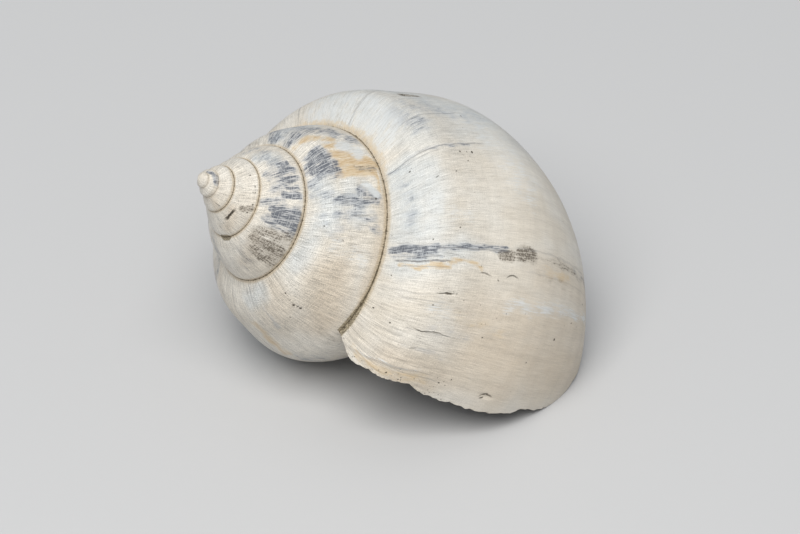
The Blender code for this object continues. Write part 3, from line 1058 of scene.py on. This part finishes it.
# %% [markdown]
# ## Growth stops
# Where the snail stopped growing for a while, a dark line stayed along its lip. A growth stop has an
# age, the shares where it begins and ends, a width in millimetres and a strength. Stops that lie close
# together are in two fields, because a field keeps only the nearest mark.

# %% Growth stops
STOPS = [
    (-0.359, 0.0, 0.2, 0.26, 0.36),
    (-0.2845, 0.08, 0.3, 0.16, 0.4),
    (-0.2375, 0.01, 0.3, 0.14, 0.62),
    (-0.13, 0.12, 0.31, 0.16, 0.6),
    (-0.1177, 0.03, 0.17, 0.17, 1.0),
    (-0.079, 0.06, 0.19, 0.14, 0.3),
    (-0.05, 0.11, 0.22, 0.1, 0.6),
    (-0.0075, 0.04, 0.26, 0.12, 0.35),
    (-0.46, 0.0, 0.7, 0.18, 0.5),
    (-0.56, 0.02, 0.55, 0.14, 0.4),
    (-0.665, 0.0, 0.8, 0.2, 0.55),
    (-0.83, 0.02, 0.6, 0.16, 0.45),
    (-0.893, 0.01, 0.1, 0.2, 0.5),
    (-1.1325, 0.2, 0.29, 0.12, 0.6),
    (-1.1595, 0.25, 0.33, 0.14, 0.8),
    (-1.078, 0.24, 0.32, 0.12, 0.4),
    (-1.21, 0.25, 0.35, 0.14, 0.6),
    (-1.45, 0.0, 0.36, 0.14, 0.45),
    (-1.92, 0.02, 0.15, 0.1, 0.45),
]
FINE_STOPS = [
    (-0.233, 0.03, 0.16, 0.1, 0.45),
    (-0.1335, 0.3, 0.66, 0.2, 0.32),
    (-0.1222, 0.04, 0.14, 0.11, 0.5),
    (-0.112, 0.05, 0.17, 0.12, 0.45),
    (-0.139, 0.03, 0.06, 0.12, 0.5),
    (-0.115, 0.34, 0.6, 0.16, 0.2),
    (-1.117, 0.23, 0.34, 0.1, 0.5),
    (-0.085, 0.01, 0.15, 0.14, 0.25),
    (-0.04, 0.05, 0.12, 0.12, 0.3),
    (-0.745, 0.05, 0.45, 0.14, 0.35),
]
for name, stops in (("stops", STOPS), ("fine_stops", FINE_STOPS)):
    field = MarkField()
    for stop_age, first, last, width, strength in stops:
        field.line([(stop_age, first), (stop_age, last)], width, strength)
    field.keep(name)

# %% [markdown]
# ## Cracks
# Short cracks run along the growth lines, where thin layers have lifted. A crack has a strength, a
# width in millimetres and its places, like a stroke.

# %% Cracks
CRACKS = [
    (0.6, 0.09, [(-0.108, 0.234), (-0.1102, 0.2415), (-0.107, 0.268)]),
    (0.75, 0.1, [(-0.1065, 0.298), (-0.1108, 0.314), (-0.1078, 0.336)]),
    (0.8, 0.09, [(-0.087, 0.144), (-0.088, 0.171), (-0.0886, 0.198)]),
    (0.75, 0.09, [(-0.0525, 0.123), (-0.0498, 0.15), (-0.052, 0.18), (-0.0495, 0.212)]),
    (0.45, 0.08, [(-0.031, 0.143), (-0.034, 0.162)]),
    (0.85, 0.15, [(-0.005, 0.334), (-0.0102, 0.346), (-0.0078, 0.37)]),
    (1.2, 0.22, [(-2.915, 0.147), (-2.99, 0.1275), (-3.033, 0.137)]),
    (0.7, 0.06, [(-3.933, 0.134), (-3.945, 0.345)]),
    (0.6, 0.1, [(-0.203, 0.123), (-0.2045, 0.136)]),
    (0.6, 0.1, [(-0.722, 0.25), (-0.719, 0.28), (-0.72, 0.32)]),
    (0.55, 0.1, [(-0.53, 0.14), (-0.527, 0.19)]),
    (0.6, 0.1, [(-0.4, 0.62), (-0.395, 0.66), (-0.398, 0.7)]),
]
crack_field = MarkField()
for strength, width, places in CRACKS:
    crack_field.line(places, width, strength)
crack_field.keep("cracks")

# %% [markdown]
# ## Pits and slots
# Pits are pinholes left by boring animals and by grains that fell out. Each has an age, a share and a
# size in millimetres, and a larger one is deeper. Two slots are long pits, so they share the field.

# %% Pits and slots
PITS = [
    (-0.0884, 0.1945, 0.16), (-0.049, 0.079, 0.18), (-0.139, 0.115, 0.15),
    (-0.149, 0.177, 0.12), (-0.076, 0.152, 0.13), (-0.1, 0.037, 0.13),
    (-0.056, 0.0285, 0.2), (-0.223, 0.065, 0.18), (-0.206, 0.181, 0.14),
    (-0.217, 0.222, 0.12), (-0.228, 0.209, 0.19), (-0.227, 0.243, 0.25),
    (-0.279, 0.286, 0.17), (-0.104, 0.589, 0.18), (-0.083, 0.531, 0.15),
    (-0.066, 0.475, 0.21), (-0.043, 0.41, 0.14), (-0.055, 0.282, 0.13),
    (-0.013, 0.262, 0.14), (-0.001, 0.135, 0.19), (0.001, 0.165, 0.15),
    (-0.007, 0.242, 0.15), (-0.97, 0.101, 0.21), (-0.96, 0.156, 0.28),
    (-0.9615, 0.184, 0.27), (-0.935, 0.186, 0.15), (-1.159, 0.314, 0.19),
    (-1.114, 0.1, 0.16), (-3.204, 0.24, 0.14), (-3.143, 0.293, 0.14),
    (-3.117, 0.3, 0.13), (-3.065, 0.306, 0.15), (-3.026, 0.282, 0.14),
    (-0.51, 0.33, 0.22), (-0.58, 0.21, 0.18), (-0.77, 0.41, 0.24),
    (-0.69, 0.52, 0.18), (-0.35, 0.58, 0.2), (-0.22, 0.72, 0.22),
    (-1.64, 0.21, 0.2), (-1.73, 0.15, 0.16),
]
SLOTS = [
    (1.0, 0.17, [(-0.0881, 0.165), (-0.0879, 0.187)]),
    (0.8, 0.12, [(-0.0047, 0.338), (-0.0066, 0.348)]),
]
PIT_SIZE = 0.85
pit_field = MarkField()
for strength, width, places in SLOTS:
    pit_field.line(places, width, strength)
for pit_age, pit_share, width in PITS:
    pit_field.pit((pit_age, pit_share), PIT_SIZE * width, 0.5 + 2 * width)
pit_field.keep("pits")

# %% [markdown]
# ## A way to write shader maths
# A material made of hundreds of nodes is hard to read as nodes. Here a small class wraps a socket, so
# that a sum of sockets is written as a sum in Python and its Math nodes are added on the way. All other
# nodes come from one method of the bench, which sets a node's settings first and then its inputs.

# %% Shader values
class Value:
    """A number or vector that the material works out at each point of the surface."""

    def __init__(self, bench, socket):
        self.bench = bench
        self.socket = socket

    def __add__(self, other):
        return self.bench.math("ADD", self, other)

    __radd__ = __add__

    def __sub__(self, other):
        return self.bench.math("SUBTRACT", self, other)

    def __rsub__(self, other):
        return self.bench.math("SUBTRACT", other, self)

    def __mul__(self, other):
        return self.bench.math("MULTIPLY", self, other)

    __rmul__ = __mul__

    def __truediv__(self, other):
        return self.bench.math("DIVIDE", self, other)

    def __rpow__(self, other):
        return self.bench.math("POWER", other, self)

    def __abs__(self):
        return self.bench.math("ABSOLUTE", self)


print("values can be added, subtracted, multiplied and divided like numbers")

# %% [markdown]
# ## The bench
# The bench holds one material and the few kinds of node that it is made of. Each method is one kind of
# step: a fade between two values, a mix of two colours, a noise, or the numbers kept on the mesh's
# corners.

# %% Shader bench
class Bench:
    """Makes the nodes of one material."""

    def __init__(self, name):
        self.material = bpy.data.materials.new(name)
        self.material.use_nodes = True
        self.tree = self.material.node_tree
        self.shader = self.tree.nodes["Principled BSDF"]

    def plug(self, socket, value):
        if isinstance(value, Value):
            self.tree.links.new(value.socket, socket)
        else:
            socket.default_value = value

    def node(self, kind, settings=None, inputs=None, output=0):
        made = self.tree.nodes.new(kind)
        for name, setting in (settings or {}).items():
            setattr(made, name, setting)
        for key, value in (inputs or {}).items():
            self.plug(made.inputs[key], value)
        return Value(self, made.outputs[output])

    def math(self, operation, *values):
        return self.node("ShaderNodeMath", {"operation": operation}, dict(enumerate(values)))

    def vector(self, operation, inputs, output=0):
        return self.node("ShaderNodeVectorMath", {"operation": operation}, inputs, output)

    def bundle(self, x, y, z=0.0):
        return self.node("ShaderNodeCombineXYZ", None, {0: x, 1: y, 2: z})

    def parts(self, vector):
        """The three numbers of a vector."""
        first = self.node("ShaderNodeSeparateXYZ", None, {0: vector})
        return [Value(self, output) for output in first.socket.node.outputs]

    def kept(self, name):
        """The three numbers that the mesh's corners keep under a name."""
        return self.parts(self.node("ShaderNodeAttribute", {"attribute_name": name}, None, 1))

    def fade(self, value, start, end):
        """0 up to start and 1 from end, with a soft change between."""
        settings = {"interpolation_type": "SMOOTHSTEP"}
        return self.node("ShaderNodeMapRange", settings, {0: value, 1: start, 2: end})

    def clamp(self, value):
        return self.node("ShaderNodeClamp", None, {0: value})

    def most(self, first, *others):
        for other in others:
            first = self.math("MAXIMUM", first, other)
        return first

    def mix(self, factor, first, second):
        settings = {"data_type": "RGBA"}
        return self.node("ShaderNodeMix", settings, {0: factor, 6: first, 7: second}, 2)

    def noise(self, vector, detail=2.0, roughness=0.5):
        inputs = {"Vector": vector, "Scale": 1.0, "Detail": detail, "Roughness": roughness}
        return self.node("ShaderNodeTexNoise", {"noise_dimensions": "3D"}, inputs)

    def count(self):
        return len(self.tree.nodes)


bench = Bench("chalky shell")
print("the bench makes", bench.material.name)

# %% [markdown]
# ## Growth coordinates in the material
# The material reads turn, share and zone from the mesh and turns them into millimetres on the shell:
# `grown` runs the way the snail grew, and `across` runs from the seam to the base. Noise that is
# stretched along one of them gives growth lines or spiral lines of a true size on every whorl.

# %% Growth coordinates
turn, share, zone = bench.kept("growth")
near_share = bench.math("MINIMUM", share, LAG_END)
behind = (GROWTH_LAG[0] + (GROWTH_LAG[1] + GROWTH_LAG[2] * near_share) * near_share) * near_share
growth_age = turn - behind
grown = GROWN * WIDTH_GROWTH**growth_age
across = REACH * share * WIDTH_GROWTH**turn


def streaks(wide, long, seed, detail=2.0, roughness=0.5):
    """Noise in streaks along the growth lines, so many millimetres wide and long."""
    return bench.noise(bench.bundle(grown / wide, across / long, seed), detail, roughness)


print("nodes for the growth coordinates:", bench.count())

# %% [markdown]
# ## Streaks of every size
# All streaks come from one noise that is stretched. A hair is 0.14 mm wide and runs along the growth
# lines, a thread is as fine but runs along the spiral, and clouds and patches are as long as they are
# wide.

# %% Streaks
hair = streaks(0.14, 2.6, 1.0, 2.0, 0.65)
dash = streaks(0.17, 1.2, 2.0, 2.0, 0.65)
ink = streaks(0.21, 2.2, 17.0, 3.0, 0.7)
strand = streaks(0.45, 4.5, 15.0, 2.0, 0.55)
band = streaks(1.1, 16.0, 3.0, 3.0, 0.55)
thread = streaks(2.6, 0.17, 4.0, 2.0, 0.6)
spiral_band = streaks(30.0, 1.6, 5.0, 2.0, 0.5)
cloud = streaks(7.0, 9.0, 6.0, 3.0, 0.5)
patch = streaks(1.6, 2.4, 7.0, 3.0, 0.55)
grit = streaks(0.15, 0.15, 8.0, 1.0, 0.5)
rough_patch = 0.55 * patch + 0.25 * strand + 0.20 * ink
print("nodes with the streaks:", bench.count())

# %% [markdown]
# ## Bare shell
# The shell itself is ivory. It is warmer and sandier near the lip and the base, which face down, and
# weathering made it milky and bluish near the seam. All three run into each other over clouds of a few
# millimetres, and each is a little darker or lighter from one growth line to the next. This fine tone is
# strong where the skin has worn away, near the seam and on the spire, and weak over the smooth belly of
# the last whorl.

# %% Bare shell colour
IVORY = (0.620, 0.585, 0.520, 1)
CREAM = (0.580, 0.530, 0.450, 1)
SANDY = (0.545, 0.470, 0.372, 1)
MILKY = (0.525, 0.540, 0.530, 1)
# tints: milky veil, warmer sandy tint, and chalk-white together with the painted ridge highlight
veil, sandy_tint, chalk_and_ridge_highlight = bench.kept("tints")
bare = bench.mix(bench.fade(cloud, 0.35, 0.65), IVORY, CREAM)
# warmer and sandier where that tint is painted, mostly on the lip and the base, which face down
bare = bench.mix(bench.clamp(sandy_tint * (0.7 + 0.6 * patch)), bare, SANDY)
bare = bench.mix(bench.clamp(veil * (0.55 + 0.9 * patch)), bare, MILKY)
worn = 0.34 + 0.60 * bench.fade(share, 0.42, 0.10) + 0.55 * bench.fade(turn, -0.55, -0.95)
fine_tone = 0.95 * (hair - 0.5) + 0.50 * (dash - 0.5) + 0.35 * (thread - 0.5) + 0.80 * (grit - 0.5)
worn_tone = worn * (fine_tone + 0.35 * (strand - 0.5))
tone = 1 + worn_tone + 0.28 * (band - 0.5) + 0.18 * (spiral_band - 0.5)
bare = bench.vector("SCALE", {0: bare, "Scale": tone})
print("nodes with the bare shell:", bench.count())

# %% [markdown]
# ## Stains
# Each painted stain is compared with streak noise. Where it is strong it closes up, and where it is
# weak only single streaks are left of it, which is how such stains thin out on a real shell. Each has a
# pale wash below and dark streaks on top, and pale threads along the spiral cross the dark ones.

# %% Stain colours
SLATE_DARK = (0.080, 0.090, 0.110, 1)
SLATE_PALE = (0.330, 0.355, 0.390, 1)
UMBER_PALE = (0.340, 0.300, 0.245, 1)
UMBER_DARK = (0.100, 0.082, 0.060, 1)
OCHRE_PALE = (0.575, 0.450, 0.285, 1)
OCHRE_DEEP = (0.430, 0.290, 0.150, 1)
slate, umber, ochre = bench.kept("stains")


def broken(layer, lines, reach, start, end):
    """A painted layer broken up by streaks. Where nothing is painted, nothing shows."""
    return bench.fade(layer + reach * (lines - 0.5), start, end) * bench.fade(layer, 0.03, 0.30)


speckle = 0.55 * ink + 0.45 * streaks(0.28, 0.28, 18.0, 2.0, 0.7)
ragged = 1 + 4.5 * (rough_patch - 0.5)
crossed = 1 - 0.65 * bench.fade(thread, 0.53, 0.64)
wash = broken(slate, rough_patch, 2.4, 0.12, 0.80)
strokes = broken(slate, ink, 6.5, 0.35, 0.95) * bench.fade(slate * ragged, 0.26, 0.70) * crossed
brown = broken(umber, speckle, 8.0, 0.40, 1.10) * bench.fade(umber * ragged, 0.22, 0.65) * crossed
brown_wash = broken(umber, rough_patch, 2.2, 0.15, 0.80)
yellow = broken(ochre, rough_patch, 2.6, 0.05, 0.70)
orange = broken(ochre, ink, 5.5, 0.45, 1.20) * bench.fade(ochre * ragged, 0.30, 0.70)
coat = bench.mix(0.85 * yellow, bare, OCHRE_PALE)
coat = bench.mix(0.75 * orange, coat, OCHRE_DEEP)
coat = bench.mix(0.66 * wash, coat, SLATE_PALE)
coat = bench.mix(0.65 * brown_wash, coat, UMBER_PALE)
coat = bench.mix(0.90 * strokes, coat, SLATE_DARK)
coat = bench.mix(0.90 * brown, coat, UMBER_DARK)
print("nodes with the stains:", bench.count())

# %% [markdown]
# ## Chalk and a painted highlight
# Chalk-white spots lie on top of the stains, because the shell crumbled there after it was stained.
# The same white along the ridge behind the lip is a painted highlight. They are too thin to need a mesh
# of their own, so they are the next coat of paint.

# %% Chalk and painted highlight
CHALK_AND_HIGHLIGHT_WHITE = (0.625, 0.635, 0.625, 1)
chalk_and_highlight_white = bench.mix(bench.fade(ink, 0.40, 0.60), MILKY, CHALK_AND_HIGHLIGHT_WHITE)
# crumbled chalk spots, and the painted highlight along the ridge behind the lip
crumbled_and_ridge_highlight = bench.fade(chalk_and_ridge_highlight * ragged + 1.2 * (ink - 0.5), 0.20, 0.90)
coat = bench.mix(0.85 * crumbled_and_ridge_highlight, coat, chalk_and_highlight_white)
print("nodes with the chalk:", bench.count())

# %% [markdown]
# ## Marks in the material
# The mark fields of the mesh become dark lines and holes here. A little noise is added to the
# distances, so that no line is as even as a drawn one. Pores are the smallest holes: they come from
# noise alone, and are most frequent in the rough band along the lip.

# %% Lines and holes
STOP_COLOR = (0.200, 0.195, 0.190, 1)
HOLE_COLOR = (0.060, 0.047, 0.030, 1)


def thin_line(name, wobble, taper):
    """A dark line that thins out towards its ends, from a share of its half length on."""
    along, beside, strength = bench.kept(name)
    return strength * bench.fade(abs(along), 1.02, taper) * bench.fade(abs(beside + wobble), 1.3, 0.35)


wander = 5.0 * (patch - 0.5)
fray = 2.2 * (streaks(0.5, 0.5, 9.0) - 0.5)
stops = bench.most(thin_line("stops", wander, 0.8), thin_line("fine_stops", wander, 0.8))
stops = stops * bench.fade(dash, 0.28, 0.56)
cracks = thin_line("cracks", fray, 0.3)
pit_along, pit_beside, pit_strength = bench.kept("pits")
pit_away = bench.vector("LENGTH", {0: bench.bundle(pit_along, pit_beside + fray)}, 1)
pits = pit_strength * bench.fade(pit_away, 1.25, 0.45)
holes = bench.most(cracks, pits)
lip_band = bench.fade(growth_age + 0.05 * share, -0.006, 0.002) * bench.fade(share, 0.34, 0.22)
pore_noise = streaks(0.42, 0.42, 13.0, 1.0) + 0.10 * lip_band + 0.05 * bench.fade(patch, 0.50, 0.62)
pores = bench.fade(pore_noise, 0.785, 0.83)
coat = bench.mix(stops, coat, STOP_COLOR)
coat = bench.mix(0.75 * pores, coat, UMBER_DARK)
coat = bench.mix(0.93 * holes, coat, HOLE_COLOR)
print("nodes with the marks:", bench.count())

# %% [markdown]
# ## Where the seam is
# A seam has two sides. On the outer side the distance to it is `across`, and on the inner side it is
# what is left of the whorl. Both give one coordinate, `from_seam`, and `seam_turn` says how old the
# seam is. Two noises along the seam make its dirt clot, and crumbs make it ragged.

# %% Seam coordinates
inner_side = bench.fade(share, SEAM * 0.60, SEAM * 0.61) * bench.fade(turn, -0.9999, -1.0001)
seam_turn = turn + inner_side
below_seam = (SEAM - share) * REACH * WIDTH_GROWTH**turn
from_seam = across + inner_side * (below_seam - across)
seam_size = WIDTH_GROWTH**seam_turn
clots = bench.noise(bench.bundle(seam_turn * 130, 0.0, 21.0), 3.0, 0.7)
knots = bench.noise(bench.bundle(seam_turn * 14, 0.0, 22.0), 2.0, 0.5)
crumbs = 0.16 * (grit - 0.5) + 0.20 * (streaks(0.4, 0.4, 14.0) - 0.5)
ragged_seam = from_seam + crumbs * (0.25 + seam_size)
off_tip = 0.35 + 0.65 * bench.fade(seam_turn, -4.2, -3.2)
off_tip = off_tip * bench.fade(seam_turn, -5.8, -5.3)
print("nodes with the seam coordinates:", bench.count())

# %% [markdown]
# ## Dirt in the seams
# Fine mud stays in the gutter of the seam. It is a dark thread as wide as a hair, wider in places, with
# an ochre rim on both sides. At the end of the last seam it fills the corner between the whorl and the
# lip, and there is one knot of it on the third whorl. On the crown a warm halo runs beside the seam. A
# strip of mesh could lie in the gutter, but dirt this thin has no shape that would show.

# %% Seam dirt
RIM_COLOR = (0.540, 0.435, 0.290, 1)
HALO_COLOR = (0.560, 0.455, 0.310, 1)
THREAD_COLOR = (0.070, 0.052, 0.028, 1)
SILT_COLOR = (0.165, 0.122, 0.066, 1)
SEDIMENT_COLOR = (0.380, 0.320, 0.215, 1)
third_knot = bench.fade(abs(seam_turn + 1.895), 0.040, 0.015)
clotted = bench.fade(clots, 0.46, 0.68)
thread_width = 0.025 + 0.13 * clotted + 0.04 * bench.fade(knots, 0.5, 0.7)
thread_width = thread_width * (0.50 + 0.50 * seam_size) + 0.08 * third_knot
dirt = bench.fade(ragged_seam - thread_width, 0.07, -0.03) * off_tip
last_end = bench.fade(turn, 0.01, 0.0)
widening = 0.16 * bench.fade(seam_turn, -0.17, -0.10) + 0.46 * bench.fade(seam_turn, -0.085, -0.015)
sediment_width = widening * last_end + 0.65 * third_knot
sediment = bench.fade(ragged_seam - sediment_width, 0.12, -0.08) * bench.fade(sediment_width, 0.02, 0.2)
rim_width = (0.30 + 0.50 * seam_size) * (0.35 + 0.75 * knots)
rim = bench.fade(from_seam + 1.2 * crumbs, 1.5 * rim_width, 0.5 * rim_width) * off_tip
crown = bench.fade(seam_turn, -0.52, -0.44) * bench.fade(seam_turn, -0.20, -0.29) * (1 - inner_side)
halo = crown * bench.fade(abs(from_seam - 0.70 + 2.2 * (patch - 0.5)), 0.62, 0.10)
halo = halo * bench.fade(ink + 0.4 * patch, 0.45, 0.85)
grains = bench.fade(0.6 * grit + 0.4 * streaks(0.3, 0.3, 16.0), 0.44, 0.62)
coat = bench.mix(0.62 * rim, coat, bench.mix(bench.fade(ink, 0.30, 0.58), SILT_COLOR, RIM_COLOR))
coat = bench.mix(0.85 * halo, coat, HALO_COLOR)
coat = bench.mix(0.92 * sediment, coat, bench.mix(grains, SEDIMENT_COLOR, THREAD_COLOR))
mud = bench.mix(bench.clamp(clotted + 0.3 * grains), SILT_COLOR, THREAD_COLOR)
coat = bench.mix(0.88 * dirt, coat, mud)
print("nodes with the seams:", bench.count())

# %% [markdown]
# ## The broken edge and the hollow
# A broken edge shows fresh, grainy shell. Inside, the shell is smooth and dull, with patches of brown
# soil, and towards the deep end of the hollow its colour is painted darker, as painted shade. A second
# material could do this, but zones of one material change softly into each other.

# %% Edge and hollow
EDGE_COLOR = (0.640, 0.570, 0.450, 1)
WALL_COLOR = (0.520, 0.465, 0.385, 1)
SOIL_AND_SHADE_COLOR = (0.250, 0.205, 0.150, 1)
in_hollow = bench.fade(zone, 0.55, 0.95)
on_edge = bench.fade(zone, 0.02, 0.25) * (1 - in_hollow)
# brown soil in patches, plus painted shade that darkens the hollow the deeper it goes
soil_and_depth_shade = bench.fade(1.2 * rough_patch - turn, 0.62, 1.10) + 0.25 * bench.fade(rough_patch, 0.45, 0.60)
lining = bench.mix(bench.clamp(soil_and_depth_shade), WALL_COLOR, SOIL_AND_SHADE_COLOR)
coat = bench.mix(on_edge, coat, EDGE_COLOR)
coat = bench.mix(in_hollow, coat, lining)
print("nodes with the hollow:", bench.count())

# %% [markdown]
# ## Feel of the surface
# The finish is that of unglazed china: it scatters most of the light and has a low, broad shine.
# Stained and soiled spots are duller. Bump adds the fine growth and spiral lines, low folds near the
# lip, and the depth of the cracks and pits. It only turns the light, so it is kept for what is too fine
# for the mesh.

# %% Roughness and bump
BUMP_DEPTH = 0.11 * MM
SHINE = 0.45
gloss = 0.50 + 0.14 * (band - 0.5) + 0.10 * (grit - 0.5) + 0.18 * bench.most(strokes, brown, dirt)
gloss = gloss + 0.25 * bench.most(holes, sediment) + 0.2 * in_hollow
lines = worn * (0.40 * hair + 0.25 * dash + 0.22 * thread + 0.30 * grit) + 0.4 * strand + 0.6 * band
folded = bench.fade(turn, -0.20, -0.06) * bench.fade(share, 0.36, 0.10)
folds = folded * streaks(0.75, 7.0, 19.0, 2.0, 0.5)
sunk = 1.3 * holes + 0.6 * pores + 0.4 * stops + 0.6 * dirt
height = lines + 2.2 * folds - sunk + 0.5 * sediment * grains
bump = bench.node("ShaderNodeBump", None, {"Strength": 1.0, "Distance": BUMP_DEPTH, "Height": height})
bench.plug(bench.shader.inputs["Base Color"], coat)
bench.plug(bench.shader.inputs["Roughness"], bench.clamp(gloss))
bench.plug(bench.shader.inputs["Normal"], bump)
bench.plug(bench.shader.inputs["Specular IOR Level"], SHINE)
shell_mesh.materials.append(bench.material)
print("nodes in the material:", bench.count())

# %% [markdown]
# ## The floor
# The shell is shown on a plain pale floor, three metres wide, so that no edge of it shows in any view.

# %% Floor
FLOOR_SIZE = 3
FLOOR_COLOR = (0.50, 0.50, 0.50, 1)
FLOOR_ROUGHNESS = 0.8


def lay_floor():
    bpy.ops.mesh.primitive_plane_add(size=FLOOR_SIZE, location=(0, 0, 0))
    floor = bpy.context.object
    floor.name = "floor"
    finish = bpy.data.materials.new("floor")
    finish.use_nodes = True
    floor_shader = finish.node_tree.nodes["Principled BSDF"]
    floor_shader.inputs["Base Color"].default_value = FLOOR_COLOR
    floor_shader.inputs["Roughness"].default_value = FLOOR_ROUGHNESS
    floor.data.materials.append(finish)
    return floor


floor = lay_floor()
print("the floor is", round(floor.dimensions.x, 1), "m wide")

# %% [markdown]
# ## The light
# One broad soft light hangs above the shell, a little to the left and towards the camera, as in a small
# studio. The world only fills the shadows, with light that is a little cooler. The plain Standard view
# keeps the pale shell as pale as it is.

# %% Lights
SKY_COLOR = (0.86, 0.92, 1.0, 1)
SKY_STRENGTH = 0.44
LIGHT_PLACE = (-0.10, -0.40, 0.80)
LIGHT_TARGET = (0, 0, 0.02)
LIGHT_WIDTH = 0.7
LIGHT_WATTS = 9.6
LIGHT_COLOR = (1.0, 0.98, 0.95)


def hang_light():
    """A square soft light, turned to its target."""
    data = bpy.data.lights.new("softbox", "AREA")
    data.size = LIGHT_WIDTH
    data.energy = LIGHT_WATTS
    data.color = LIGHT_COLOR
    light = bpy.data.objects.new("softbox", data)
    light.location = LIGHT_PLACE
    away = Vector(LIGHT_PLACE) - Vector(LIGHT_TARGET)
    light.rotation_euler = away.to_track_quat("Z", "Y").to_euler()
    bpy.context.scene.collection.objects.link(light)
    return light


world = bpy.data.worlds.new("studio")
world.use_nodes = True
sky = world.node_tree.nodes["Background"]
sky.inputs["Color"].default_value = SKY_COLOR
sky.inputs["Strength"].default_value = SKY_STRENGTH
bpy.context.scene.world = world
softbox = hang_light()
bpy.context.scene.view_settings.view_transform = "Standard"
print("the soft light gives", round(softbox.data.energy, 1), "W")

# %% [markdown]
# ## Finish
# The size of the dressed shell is printed in millimetres. Nothing is drawn here.

# %% Finish
print("the dressed shell is", [round(size / MM, 1) for size in shell.dimensions], "mm")
